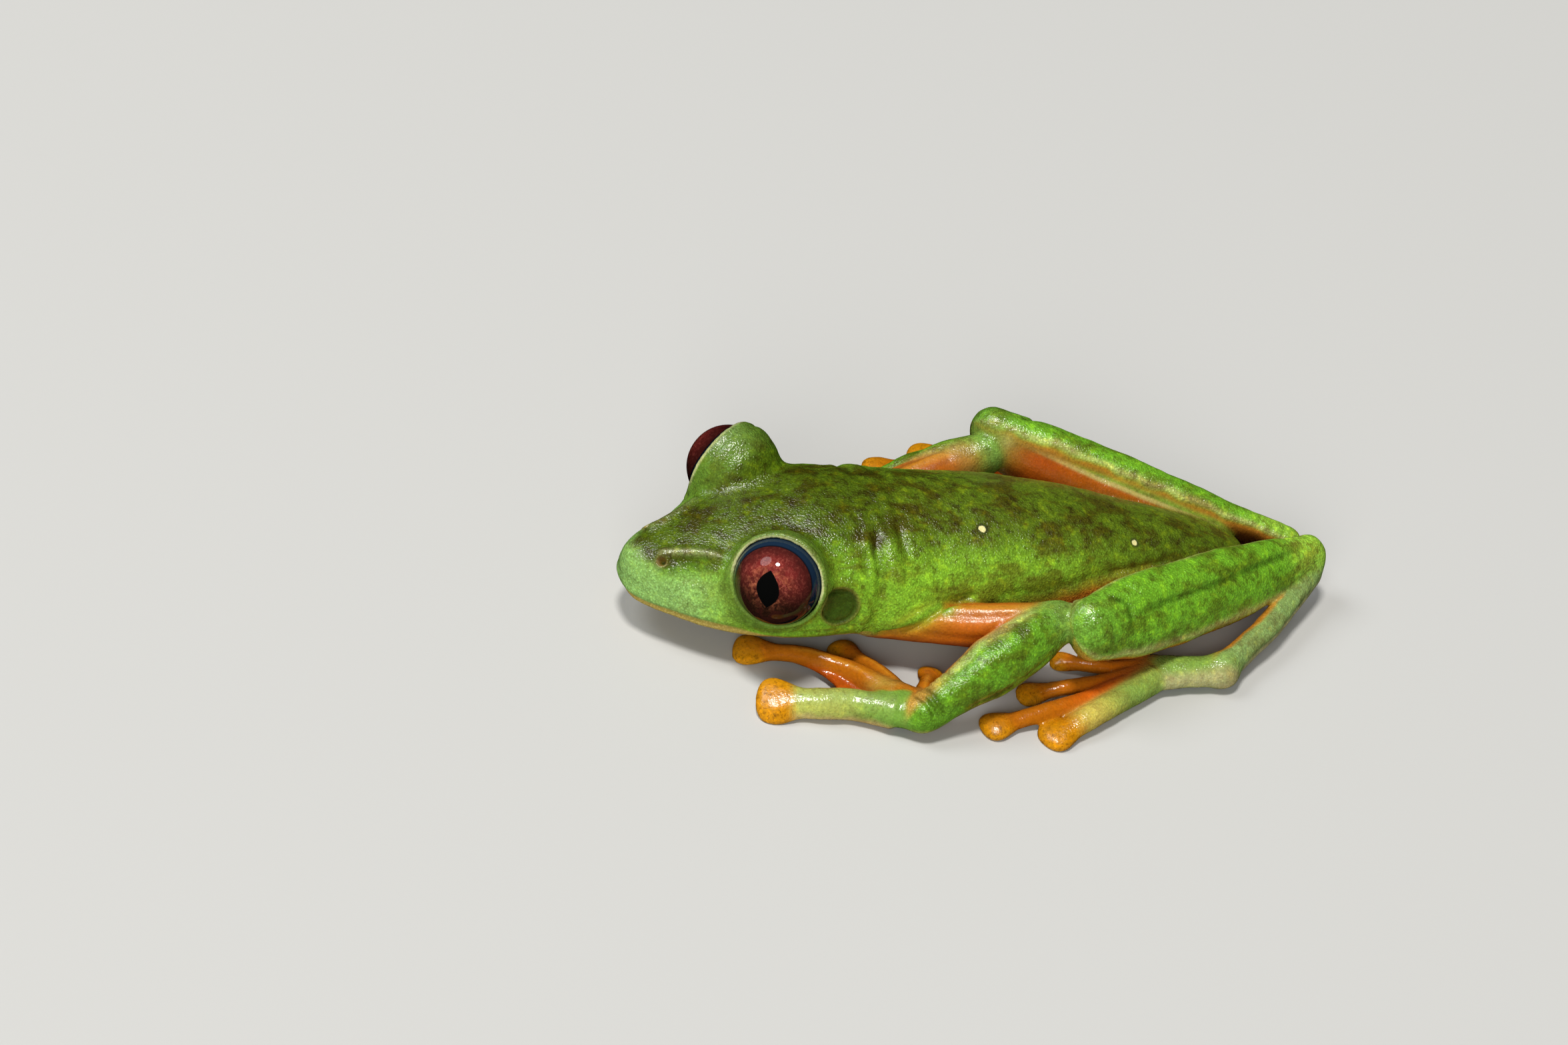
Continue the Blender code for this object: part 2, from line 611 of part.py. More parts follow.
def centre_on_floor(collection):
    """Set the origin under the middle of the whole frog, on the floor."""
    corners = [obj.matrix_world @ v.co for obj in collection.objects for v in obj.data.vertices]
    low = Vector([min(c[i] for c in corners) for i in range(3)])
    high = Vector([max(c[i] for c in corners) for i in range(3)])
    shift = Vector((-(low.x + high.x) / 2, -(low.y + high.y) / 2, -low.z))
    for obj in collection.objects:
        obj.data.transform(Matrix.Scale(MM, 4) @ Matrix.Translation(shift))


def new_collection(name):
    collection = bpy.data.collections.new(name)
    bpy.context.scene.collection.children.link(collection)
    return collection


def main():
    skins = {
        "green": material("green_skin", GREEN, 0.35),
        "orange": material("orange_skin", ORANGE, 0.3),
        "cream": material("throat_skin", CREAM, 0.4),
        "ear": material("eardrum", OLIVE, 0.35),
    }
    eye = material("eye", RED, 0.08)
    head, jaw = make_head(skins)
    neck = body_length("neck", steps(NECK_FRONT_Y + GAP / 2, NECK_BACK_Y - GAP / 2, 3), skins["green"])
    trunk = body_length("trunk", steps(NECK_BACK_Y + GAP / 2, PELVIS_Y - GAP / 2, 8), skins["green"])
    rump = steps(PELVIS_Y + GAP / 2, RUMP_STATIONS[0], 6) + list(RUMP_STATIONS[1:])
    pelvis = body_length("pelvis", rump, skins["green"], back_tip=RUMP_TIP)
    for piece in (neck, trunk, pelvis):
        stand(piece)
    hand_form, foot_form = hand_shape(), foot_shape()
    for side_name, side in (("left", 1), ("right", -1)):
        make_eye(side, "eye_" + side_name, eye)
        upper, fore, hand = make_arm(side_name, side, hand_form, skins)
        shank, thigh, tarsus, foot = make_leg(side_name, side, foot_form, skins)
        clear_of(fore, shank)
        clear_of(thigh, fore)
        for piece in (trunk, neck, jaw):
            clear_of(hand, piece)
        for piece, neighbours in ((neck, (upper,)), (trunk, (upper, thigh, shank)),
                                  (pelvis, (thigh, shank, tarsus))):
            for neighbour in neighbours:
                clear_of(piece, neighbour)
    for form in (hand_form, foot_form):
        bpy.data.objects.remove(form)
    centre_on_floor(parts)


for leftover in list(bpy.data.objects):
    bpy.data.objects.remove(leftover)
parts = new_collection("leaf_frog")
cutters = new_collection("cutters")
main()
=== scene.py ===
"""Looks of the leaf frog: one skin over its solids, wet eyes, a pale floor, soft light and the camera.

Shapes are worked out in millimetres in the frog's own frame: the snout points along -Y from y = -28,
the vent lies at y = 28.6, the frog's left side is +X and the floor is z = 0. Places are written as if
on the left side and mirrored for the right one; where the two sides differ, 1 is left and -1 is right.
"""
import itertools
import math

import bmesh
import bpy
import numpy as np
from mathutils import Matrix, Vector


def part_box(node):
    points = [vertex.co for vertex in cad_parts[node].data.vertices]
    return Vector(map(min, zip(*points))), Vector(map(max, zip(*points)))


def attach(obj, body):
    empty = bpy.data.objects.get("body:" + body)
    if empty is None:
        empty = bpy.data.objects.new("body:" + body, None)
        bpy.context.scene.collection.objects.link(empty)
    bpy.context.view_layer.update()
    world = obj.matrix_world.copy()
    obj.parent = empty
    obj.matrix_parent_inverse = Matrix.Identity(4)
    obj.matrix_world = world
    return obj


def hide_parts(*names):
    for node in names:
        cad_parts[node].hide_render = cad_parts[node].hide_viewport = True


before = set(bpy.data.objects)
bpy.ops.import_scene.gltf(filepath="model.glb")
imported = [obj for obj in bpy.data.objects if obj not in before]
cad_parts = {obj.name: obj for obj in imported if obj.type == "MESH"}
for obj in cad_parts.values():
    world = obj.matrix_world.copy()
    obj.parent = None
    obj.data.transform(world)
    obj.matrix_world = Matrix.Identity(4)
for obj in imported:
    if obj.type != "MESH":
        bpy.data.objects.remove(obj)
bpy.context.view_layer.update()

import openvdb
from mathutils import Matrix, Vector
from mathutils.bvhtree import BVHTree

MM = 0.001

# ---------------------------------------------------------------- sizes shared with the solids
# head and trunk: (y, value) for the half width, the top, the bottom and the level of the widest line
HALF_WIDTH = ((-28.0, 0.5), (-27.75, 1.35), (-27.0, 2.5), (-24.8, 4.45), (-21.9, 6.4), (-18.7, 7.9),
              (-15.0, 8.7), (-12.0, 8.95), (-8.0, 8.7), (-3.0, 8.3), (5.0, 7.7), (12.0, 6.6),
              (19.5, 4.9), (25.0, 3.6), (28.2, 1.8), (28.6, 0.8))
TOP = ((-28.0, 5.6), (-27.75, 6.4), (-27.0, 7.1), (-24.8, 8.0), (-21.9, 9.2), (-18.7, 10.2),
       (-15.0, 11.2), (-12.0, 11.8), (-8.0, 11.7), (-3.0, 11.3), (5.0, 10.6), (12.0, 9.3),
       (19.5, 7.4), (25.0, 5.7), (28.2, 4.3), (28.6, 3.7))
BOTTOM = ((-28.0, 4.9), (-27.75, 3.7), (-27.0, 2.9), (-24.8, 2.4), (-21.9, 2.1), (-18.7, 1.95),
          (-14.0, 1.9), (-9.0, 1.75), (-5.0, 1.1), (-1.0, 0.1), (2.0, -0.12), (14.0, -0.12), (20.0, 0.3),
          (25.0, 1.2), (28.2, 2.4), (28.6, 2.9))
WIDE_LEVEL = ((-28.0, 5.2), (-27.0, 4.2), (-24.0, 4.1), (-16.0, 4.6), (-11.0, 5.2), (5.0, 4.8),
              (14.0, 4.4), (22.0, 3.8), (28.6, 3.5))
BACK_ROUND, BELLY_ROUND = 2.1, 2.5

EYE_CENTRE = (7.4, -17.0, 9.0)
EYE_RADIUS = 3.68
LID_RADIUS = 4.2

ARM = {1: {"shoulder": (6.4, -7.5, 3.9), "elbow": (11.6, 6.6, 6.5), "wrist": (17.0, -5.9, 2.1)},
       -1: {"shoulder": (6.4, -7.5, 3.9), "elbow": (11.0, 7.6, 6.7), "wrist": (11.4, -4.2, 1.9)}}
FOREARM_BOW = {1: (0.3, 0.0, 0.4), -1: (-0.3, 0.0, -0.4)}
HAND_TURN = {1: 0.0, -1: 16.0}
UPPER_ARM_GIRTH = ((1.75, 1.75), (1.85, 1.85), (1.75, 1.75))
UPPER_ARM_BOW = (0.4, 0.0, -0.3)
FOREARM_GIRTH = ((1.7, 1.9), (2.4, 2.6), (2.4, 2.6), (1.9, 2.0), (1.6, 1.7))
LEG = {1: {"knee": (13.4, 8.9, 7.1), "heel": (1.7, 34.0, 4.2), "hip": (3.3, 26.2, 2.6)},
       -1: {"knee": (12.9, 8.7, 7.7), "heel": (1.9, 33.4, 2.7), "hip": (3.3, 26.2, 2.6)}}
SHANK_BOW = {1: (0.3, 0.3, 0.1), -1: (0.0, 0.3, -0.2)}
SHANK_GIRTH = ((2.0, 2.7), (2.1, 3.5), (2.0, 3.45), (1.75, 3.25), (1.6, 2.6), (1.5, 1.8))
SHANK_LEAN = 38.0
THIGH_GIRTH = ((1.9, 2.2), (2.3, 2.7), (2.6, 2.9), (2.3, 2.6))
THIGH_START = (-1.5, 0.5, -0.7)
THIGH_BOW = (-0.4, 0.0, -0.2)
ANKLE = (13.0, 22.2, 1.45)
TARSUS_START = (0.9, 0.0, -1.3)
TARSUS_BOW = (0.4, 0.4, 0.0)
TARSUS_GIRTH = ((1.2, 1.4), (1.1, 1.25), (1.1, 1.25), (1.3, 1.45))
DIGIT_LEVEL = 1.15
DISC_PRESS = 0.12
PALM_CENTRE = (-1.6, -1.3, 1.55)
PALM_AXIS = (-0.5, -0.8, -0.1)
PALM_SIZE = (2.3, 1.35, 2.9)
KNUCKLE_LEVEL = 1.4
SOLE = (12.7, 16.8, 1.25)
METATARSUS_GIRTH = ((1.5, 1.4), (1.5, 1.25), (1.75, 1.2))
WEB_LEVEL, WEB_STEP, WEB_HOLLOW = 0.75, 0.06, 0.4

# root, bends, disc centre, base half-width, neck half-width, disc half-width, disc roll; the outer
# finger and the outer toe, which come last, are wider here than in the solids
FINGERS = (
    ((-1.9, 0.4), ((-4.4, 1.6),), (-6.6, 2.9), 1.0, 0.65, 1.15, 0.0),
    ((-2.6, -0.9), ((-6.4, -1.9),), (-10.2, -3.6), 1.0, 0.7, 1.45, 0.0),
    ((-2.9, -1.8), ((-6.5, -4.0), (-9.0, -7.6)), (-10.8, -11.6), 1.15, 0.8, 1.75, -8.0),
    ((-1.1, -2.2), ((-2.6, -5.2), (-3.0, -8.4)), (-3.7, -11.2), 1.4, 1.32, 2.2, -24.0),
)
TOES = (
    ((11.6, 16.6), ((10.4, 14.0),), (8.9, 11.9), 0.9, 0.6, 1.1, 0.0),
    ((12.0, 16.2), ((11.6, 12.5),), (9.6, 9.2), 0.9, 0.65, 1.15, 0.0),
    ((12.4, 15.8), ((13.4, 11.5), (13.7, 8.0)), (13.5, 5.0), 1.0, 0.7, 1.35, 0.0),
    ((12.9, 15.6), ((14.8, 11.0), (16.3, 6.2)), (17.2, 0.8), 1.1, 0.8, 1.6, 0.0),
    ((13.3, 15.8), ((15.4, 12.4), (17.4, 9.0)), (18.8, 5.6), 1.3, 1.08, 1.6, 0.0),
)

# ---------------------------------------------------------------- sizes of the dressing alone
EYE_AXIS = {1: (0.756, -0.533, 0.381), -1: (0.79, -0.59, 0.17)}     # where each eye looks
CORNEA_RISE = 0.12
LID_AXIS = {1: (0.77, -0.55, 0.27), -1: (0.80, -0.58, 0.12)}        # where each pair of lids opens
LID_EDGE = {1: 0.4, -1: 1.25}                                       # how far along it the lids reach
EAR, EAR_OUTWARD, EAR_RADIUS = (8.75, -11.7, 6.9), (1.0, 0.1, 0.28), 1.68
NOSTRIL, NOSTRIL_OUTWARD = (2.25, -25.3, 7.2), (0.62, -0.45, 0.64)
MOUTH_FRONT, MOUTH_LENGTH, MOUTH_RISE = (-28.0, 3.55), 16.8, 1.15   # (y, level), then back and up
ELBOW_POINT = (-0.3, 1.6, 1.5)       # from the elbow's centre to the small point behind it
DISC_THICKNESS = (0.2, 0.22)         # half of it: a fixed part, and a share of the disc's half-width
WEB_THICKNESS, WEB_SAG = 0.42, 0.16
HAND_WEBS = (0.4, 0.55, 0.78)        # how far each web reaches along its digits
FOOT_WEBS = (0.4, 0.5, 0.62, 0.74)

# lines that are modelled and painted alike, the folds and grooves with painted shade and the snout's ridge
# with a painted highlight: on the body as places, on a limb as (share, angle)
SNOUT_RIDGE = ((1.3, -26.0, 7.4), (1.9, -24.6, 7.9), (2.6, -23.2, 8.5), (3.5, -21.6, 8.9),
               (4.6, -20.6, 9.2))
NAPE_FOLD = ((2.6, -7.2, 11.4), (4.3, -7.8, 10.9), (5.5, -8.1, 10.3), (6.8, -8.0, 9.4), (7.8, -7.9, 8.1),
             (8.4, -7.9, 6.8), (8.7, -7.7, 5.0))
HIND_FOLD = ((3.0, -5.7, 11.3), (4.0, -5.8, 10.9), (5.2, -5.7, 10.4), (6.3, -5.6, 9.4))
SHANK_GROOVE = ((0.06, 14), (0.15, 8), (0.28, 11), (0.53, 14), (0.75, 20), (0.95, 30))
KNEE_CREASE = ((0.05, 66), (0.07, 50), (0.1, 28), (0.11, 5), (0.1, -20))
FOREARM_GROOVE = ((0.1, 10), (0.35, -8), (0.6, -12), (0.85, -10))
FINGER_LINE = ((0.15, 90), (0.5, 90), (0.8, 90))                    # painted only

TAGS = {1: "left", -1: "right"}
FLESH = ["head", "lower_jaw", "neck", "trunk", "pelvis", "tympanum_left", "tympanum_right"] + [
    part + side for part in ("upper_arm", "forearm", "hand", "thigh", "shank", "tarsus", "foot")
    for side in ("_left", "_right")]

eye_low, eye_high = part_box("eye_left")
SHIFT = Vector(EYE_CENTRE) - (eye_low + eye_high) / 2 / MM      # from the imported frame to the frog's own


def to_frame(point):
    """A point of the frog's own frame in mm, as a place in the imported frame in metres."""
    return (Vector(point) - SHIFT) * MM


# ---------------------------------------------------------------- curves and forms

def cubic(u, start, leave, arrive, end):
    """Value or point at u in 0..1 between two ends with given slopes."""
    return (start * (2 * u**3 - 3 * u**2 + 1) + leave * (u**3 - 2 * u**2 + u)
            + end * (3 * u**2 - 2 * u**3) + arrive * (u**3 - u**2))


def smooth(stations, t):
    """Value at t on the monotone cubic through (t, value) stations."""
    xs = [s[0] for s in stations]
    ys = [s[1] for s in stations]
    if t <= xs[0]:
        return ys[0]
    if t >= xs[-1]:
        return ys[-1]
    slopes = [(ys[i + 1] - ys[i]) / (xs[i + 1] - xs[i]) for i in range(len(xs) - 1)]
    tangents = [slopes[0]]
    for a, b in zip(slopes, slopes[1:]):
        tangents.append(2 * a * b / (a + b) if a * b > 0 else 0.0)
    tangents.append(slopes[-1])
    i = max(k for k in range(len(xs) - 1) if xs[k] <= t)
    h = xs[i + 1] - xs[i]
    return cubic((t - xs[i]) / h, ys[i], h * tangents[i], h * tangents[i + 1], ys[i + 1])


def through(points, t):
    """Point at t in 0..1 on the smooth curve through the points, measured along their chords."""
    points = [Vector(p) for p in points]
    marks = [0.0]
    for a, b in zip(points, points[1:]):
        marks.append(marks[-1] + (b - a).length)
    at = t * marks[-1]
    i = min(max(k for k in range(len(marks)) if marks[k] <= at + 1e-9), len(points) - 2)
    before = points[i - 1] if i > 0 else points[i] * 2 - points[i + 1]
    after = points[i + 2] if i + 2 < len(points) else points[i + 1] * 2 - points[i]
    a, b = points[i], points[i + 1]
    step = marks[i + 1] - marks[i]
    leave = (b - before) / ((b - a).length + (a - before).length) * step
    arrive = (after - a) / ((b - a).length + (after - b).length) * step
    return cubic((at - marks[i]) / step, a, leave, arrive, b)


def even(values, t):
    """Rows of values spread evenly over t in 0..1, read at t."""
    at = t * (len(values) - 1)
    return tuple(smooth([(i, v[axis]) for i, v in enumerate(values)], at) for axis in range(len(values[0])))


def mirrored(point, side):
    return Vector((point[0] * side, point[1], point[2]))


def bowed(a, b, bow, side):
    """Path from a to b whose middle is moved by the bow."""
    return a, a.lerp(b, 0.5) + mirrored(bow, side), b


def frame_along(axis, up=(0.0, 0.0, 1.0)):
    """Three square axes: sideways, upward and along the given direction."""
    along = Vector(axis).normalized()
    side = Vector(up).cross(along).normalized()
    return side, along.cross(side), along


def body_point(y, degrees, side=1):
    """Point of the body's surface at y; 0 degrees is its widest level, 90 the middle of the back."""
    top, bottom, level = smooth(TOP, y), smooth(BOTTOM, y), smooth(WIDE_LEVEL, y)
    cos, sin = math.cos(math.radians(degrees)), math.sin(math.radians(degrees))
    power = 2.0 / (BACK_ROUND if sin >= 0 else BELLY_ROUND)
    reach = top - level if sin >= 0 else level - bottom
    return Vector((side * smooth(HALF_WIDTH, y) * math.copysign(abs(cos) ** power, cos), y,
                   level + reach * math.copysign(abs(sin) ** power, sin)))


def loft(rings, tips):
    """Closed form through rings of equal count, with a point at each end."""
    rings = np.array(rings, np.float32)
    count, sides = rings.shape[:2]
    points = np.vstack([rings.reshape(-1, 3), np.array(tips, np.float32)])
    i, j = np.meshgrid(np.arange(count - 1), np.arange(sides), indexing="ij")
    k = (j + 1) % sides
    quads = np.stack([i * sides + j, i * sides + k, (i + 1) * sides + k, (i + 1) * sides + j], -1)
    j = np.arange(sides)
    k = (j + 1) % sides
    start = np.stack([k, j, np.full(sides, count * sides)], -1)
    last = (count - 1) * sides
    end = np.stack([last + j, last + k, np.full(sides, count * sides + 1)], -1)
    return points, quads.reshape(-1, 4), np.vstack([start, end])


def nearest(points, line):
    """For each point, which point of a line is nearest, and how far away."""
    best = np.full(len(points), 1e9)
    index = np.zeros(len(points), int)
    for i, place in enumerate(line):
        gap = ((points - place)**2).sum(1)
        closer = gap < best
        best[closer] = gap[closer]
        index[closer] = i
    return index, np.sqrt(best)


class Limb:
    """Round-ended limb along a smooth path, with an elliptical section of changing girth."""

    def __init__(self, path, girths, lean=0.0, sides=28, rings=48, blunt=False):
        stretch = [i / (rings - 1) for i in range(rings)]
        self.centres = [through(path, t) for t in stretch]
        self.sizes = [even(girths, t) for t in stretch]
        self.sides, self.ups, loops = [], [], []
        for i in range(rings):
            along = (self.centres[min(i + 1, rings - 1)] - self.centres[max(i - 1, 0)]).normalized()
            side, upward, _ = frame_along(along)
            turn = Matrix.Rotation(math.radians(lean), 3, along)
            self.sides.append(turn @ side)
            self.ups.append(turn @ upward)
        angles = [2 * math.pi * k / sides for k in range(sides)]

        def ring(i, out, scale):
            middle, (wide, high) = self.centres[i] + out, self.sizes[i]
            return [middle + self.sides[i] * (wide * scale * math.cos(a))
                    + self.ups[i] * (high * scale * math.sin(a)) for a in angles]

        first = (self.centres[1] - self.centres[0]).normalized()
        last = (self.centres[-1] - self.centres[-2]).normalized()
        bends = [math.radians(b) for b in (75, 60, 45, 30, 15)]
        head, tail = self.sizes[0][0], self.sizes[-1][0]
        if not blunt:
            loops += [ring(0, -first * (head * math.sin(b)), math.cos(b)) for b in bends]
        loops += [ring(i, Vector((0, 0, 0)), 1.0) for i in range(rings)]
        loops += [ring(rings - 1, last * (tail * math.sin(b)), math.cos(b)) for b in reversed(bends)]
        start = self.centres[0] if blunt else self.centres[0] - first * head
        self.mesh = loft(loops, (start, self.centres[-1] + last * tail))

    def local(self, points):
        """For each point: how far along the limb (0..1), and the angle round it (0 sideways, 90 up)."""
        centres = np.array(self.centres)
        index, _ = nearest(points, centres)
        away = points - centres[index]
        across = (away * np.array(self.sides)[index]).sum(1)
        up = (away * np.array(self.ups)[index]).sum(1)
        return index / (len(centres) - 1), np.degrees(np.arctan2(up, across))


def disc_height(half_width):
    """Half the thickness of a disc, which is slimmer than in the solids."""
    return DISC_THICKNESS[0] + DISC_THICKNESS[1] * half_width


def digit_path(root, bends, tip, disc, roll, root_level):
    """Path of a finger or toe, whose disc presses a little into the floor."""
    lean = math.radians(roll)
    level = math.hypot(disc * math.sin(lean), disc_height(disc) * math.cos(lean)) - DISC_PRESS
    return [(*root, root_level)] + [(*bend, DIGIT_LEVEL) for bend in bends] + [(*tip, level)]


def digit(path, base, neck, disc, roll):
    """Finger or toe that narrows to its neck and widens again into the disc."""
    joint = (base + neck) / 2
    end = (neck * 1.25, min(neck, disc_height(disc)))
    girths = ((base, base), (joint, joint), (neck, neck * 0.95), (neck, neck * 0.85), end)
    return Limb(path, girths, lean=roll, sides=24, rings=36, blunt=True)


def disc_form(limb, disc):
    """Flat pad at a digit's end: wider than long, with a blunt front."""
    along = (limb.centres[-1] - limb.centres[-2]).normalized()
    side, up = limb.sides[-1], limb.ups[-1]
    centre = limb.centres[-1] + along * (0.22 * disc)
    thick = disc_height(disc)
    loops = []
    rows, sides = 20, 48
    for i in range(1, rows):
        lift = math.pi * (i / rows - 0.5)
        flat, high = abs(math.cos(lift)) ** 0.8, math.sin(lift)
        ring = []
        for k in range(sides):      # a rounded square, cut short in front and narrower behind
            a = 2 * math.pi * k / sides
            ca, sa = math.cos(a), math.sin(a)
            u = math.copysign(abs(ca) ** 0.8, ca) * disc * 0.97
            v = math.copysign(abs(sa) ** 0.8, sa) * disc * (0.72 if sa > 0 else 1.0)
            u *= 1.0 if sa > 0 else 1.0 - 0.25 * abs(sa)
            ring.append(centre + side * (u * flat) + along * (v * flat) + up * (high * thick))
        loops.append(ring)
    return loft(loops, (centre - up * thick, centre + up * thick))


def web_mesh(one, two, reach, level):
    """Sheet between two digits, hollowed at its free edge."""
    along, across = 14, 10
    half = WEB_THICKNESS / 2
    grid = np.zeros((2, along + 1, across + 1, 3), np.float32)
    for i in range(along + 1):
        for j in range(across + 1):
            share = j / across
            t = reach * i / along * (1 - WEB_HOLLOW * math.sin(math.pi * share))
            point = through(one, t).lerp(through(two, t), share)
            sag = WEB_SAG * math.sin(math.pi * share)
            grid[0, i, j] = (point.x, point.y, level - sag + half)
            grid[1, i, j] = (point.x, point.y, level - sag - half)
    row, layer = across + 1, (along + 1) * (across + 1)
    quads = []
    for i in range(along):
        for j in range(across):
            cell = (i * row + j, i * row + j + 1, (i + 1) * row + j + 1, (i + 1) * row + j)
            quads.append(cell)
            quads.append([c + layer for c in reversed(cell)])
    rim = ([j for j in range(across)] + [i * row + across for i in range(along)]
           + [along * row + j for j in range(across, 0, -1)] + [i * row for i in range(along, 0, -1)])
    for a, b in zip(rim, rim[1:] + rim[:1]):
        quads.append((a, a + layer, b + layer, b))
    return grid.reshape(-1, 3), np.array(quads), np.zeros((0, 3), int)


# ---------------------------------------------------------------- signed distances on a grid

STEP = 0.165         # mm
LOW = np.array((-21.6, -29.4, -0.9))
HIGH = np.array((21.6, 37.2, 14.4))
REACH = 9            # steps either side of a surface that hold true distances
FAR = REACH * STEP
SEAM = 0.12          # rounding of a joint where no more is asked for
COUNT = np.ceil((HIGH - LOW) / STEP).astype(int)


def between(table, cell, share):
    """Values of a 3-D table at cell plus a share of the way to the next one along each axis."""
    total = np.zeros(len(cell), np.float32)
    for corner in itertools.product((0, 1), repeat=3):
        weight = np.prod(np.abs(1 - np.array(corner) - share), axis=1)
        x, y, z = ((cell + corner) % table.shape).T
        total += weight * table[x, y, z]
    return total


def rounded_max(a, b, width):
    """The larger of two distances, rounded over a width where they meet."""
    overlap = np.maximum(width - np.abs(a - b), 0) / width
    return np.maximum(a, b) + overlap**2 * width / 4


class Field:
    """Distances (mm, negative inside) at the grid's points within a box of the grid."""

    def __init__(self, low, high, values=None):
        self.low = np.maximum(np.array(low), 0)
        self.high = np.minimum(np.array(high), COUNT)
        self.values = np.full(self.high - self.low, FAR, np.float32) if values is None else values

    def within(self, other):
        a, b = other.low - self.low, other.high - self.low
        return self.values[a[0]:b[0], a[1]:b[1], a[2]:b[2]]

    def axes(self):
        """Coordinates of the field's points in mm, ready to broadcast."""
        x, y, z = (LOW[i] + STEP * np.arange(self.low[i], self.high[i], dtype=np.float32) for i in range(3))
        return x[:, None, None], y[None, :, None], z[None, None, :]

    def distance(self, centre):
        x, y, z = self.axes()
        return np.sqrt((x - centre[0])**2 + (y - centre[1])**2 + (z - centre[2])**2)

    def middle(self):
        return LOW + STEP * (self.low + self.high) / 2

    def merge(self, other, blend=0.01, near=None, reach=2.5):
        """Join another field; where near is given, the joint is only well rounded around that point."""
        width = blend
        if near is not None:
            width = SEAM + (blend - SEAM) * np.exp(-(other.distance(near) / reach)**2)
        mine = self.within(other)
        overlap = np.maximum(width - np.abs(mine - other.values), 0) / width
        mine[...] = np.minimum(mine, other.values) - overlap**2 * width / 4

    def sample(self, points):
        """Distance at points (mm); FAR outside the box."""
        at = (points - LOW) / STEP - self.low
        inside = np.all((at >= 0) & (at < np.array(self.values.shape) - 1.001), axis=1)
        out = np.full(len(points), FAR, np.float32)
        cell = at[inside].astype(int)
        out[inside] = between(self.values, cell, at[inside] - cell)
        return out

    def soften(self):
        """Blur the distances by about half a grid step."""
        v = self.values
        for axis in range(3):
            middle, before, after = ([slice(None)] * 3 for _ in range(3))
            middle[axis], before[axis], after[axis] = slice(1, -1), slice(0, -2), slice(2, None)
            v[tuple(middle)] = (v[tuple(before)] + 2 * v[tuple(middle)] + v[tuple(after)]) / 4


def field_of(mesh):
    """Field of a closed form."""
    points, quads, triangles = mesh
    index = ((points - LOW) / STEP).astype(np.float32)
    low = np.maximum(np.floor(index.min(0)).astype(int) - REACH, 0)
    high = np.minimum(np.ceil(index.max(0)).astype(int) + REACH + 1, COUNT)
    grid = openvdb.FloatGrid.createLevelSetFromPolygons(
        index, triangles=triangles.astype(np.uint32), quads=quads.astype(np.uint32),
        transform=openvdb.createLinearTransform(1.0), halfWidth=REACH)
    values = np.zeros(high - low, np.float32)
    grid.copyToArray(values, ijk=tuple(int(v) for v in low))
    return Field(low, high, values * STEP)


def ball_field(centre, radius, margin):
    index = (np.array(centre) - LOW) / STEP
    wide = (radius + margin) / STEP
    field = Field(np.floor(index - wide).astype(int), np.ceil(index + wide).astype(int))
    field.values = (field.distance(centre) - radius).astype(np.float32)
    return field


def ellipsoid(centre, axes, sizes, sides=32, rings=18):
    """Closed form whose half-lengths along the three axes are the sizes."""
    centre = np.array(centre)
    wide, high, along = (np.array(axis) * size for axis, size in zip(axes, sizes))
    loops = []
    for i in range(1, rings):
        a = math.pi * i / rings
        loops.append([centre + wide * (math.sin(a) * math.cos(b)) + high * (math.sin(a) * math.sin(b))
                      - along * math.cos(a) for b in (2 * math.pi * k / sides for k in range(sides))])
    return loft(loops, [centre - along, centre + along])


# ---------------------------------------------------------------- the frog's form

parts = {}       # name: (limb or None, field), to tell afterwards what each point of skin belongs to


def keep(name, form):
    """Field of a limb or a plain form, remembered under its name."""
    limb = form if isinstance(form, Limb) else None
    field = field_of(limb.mesh if limb else form)
    parts[name] = (limb, field)
    return field


def body_form():
    """Head and trunk, with closer rings at both ends."""
    stations = [-28.0, -27.9, -27.75, -27.5, -27.2] + [-26.8 + 0.55 * i for i in range(100)]
    stations += [28.2, 28.4, 28.6]
    rings = [[body_point(y, 360 * k / 96) for k in range(96)] for y in stations]
    return loft(rings, [(0.0, -28.12, 5.3), (0.0, 28.75, 3.4)])


def add_lid(skin, side):
    """Raise the lids round one eye; their edge lies in a plane across the way they open."""
    centre, outward = mirrored(EYE_CENTRE, side), mirrored(LID_AXIS[side], side).normalized()
    bump = ball_field(centre, LID_RADIUS, 2.4)
    beyond = sum((at - middle) * share for at, middle, share in zip(bump.axes(), centre, outward))
    bump.values = rounded_max(bump.values, beyond - LID_EDGE[side], 0.25)
    skin.merge(bump, 1.3)


def open_eye(skin, side):
    """Clear the eyeball's room, with a soft edge."""
    ball = ball_field(mirrored(EYE_CENTRE, side), EYE_RADIUS + 0.02, 1.2)
    mine = skin.within(ball)
    mine[...] = rounded_max(mine, -ball.values, 0.18)


def room_for(fields):
    """Empty field round all the fields."""
    return Field(np.min([f.low for f in fields], 0), np.max([f.high for f in fields], 0))


def joined(fields, blends, joints):
    """Chain of fields, each merged to those before it with its joint rounded."""
    chain = room_for(fields)
    chain.merge(fields[0])
    for field, blend, joint in zip(fields[1:], blends, joints):
        chain.merge(field, blend, joint)
    return chain


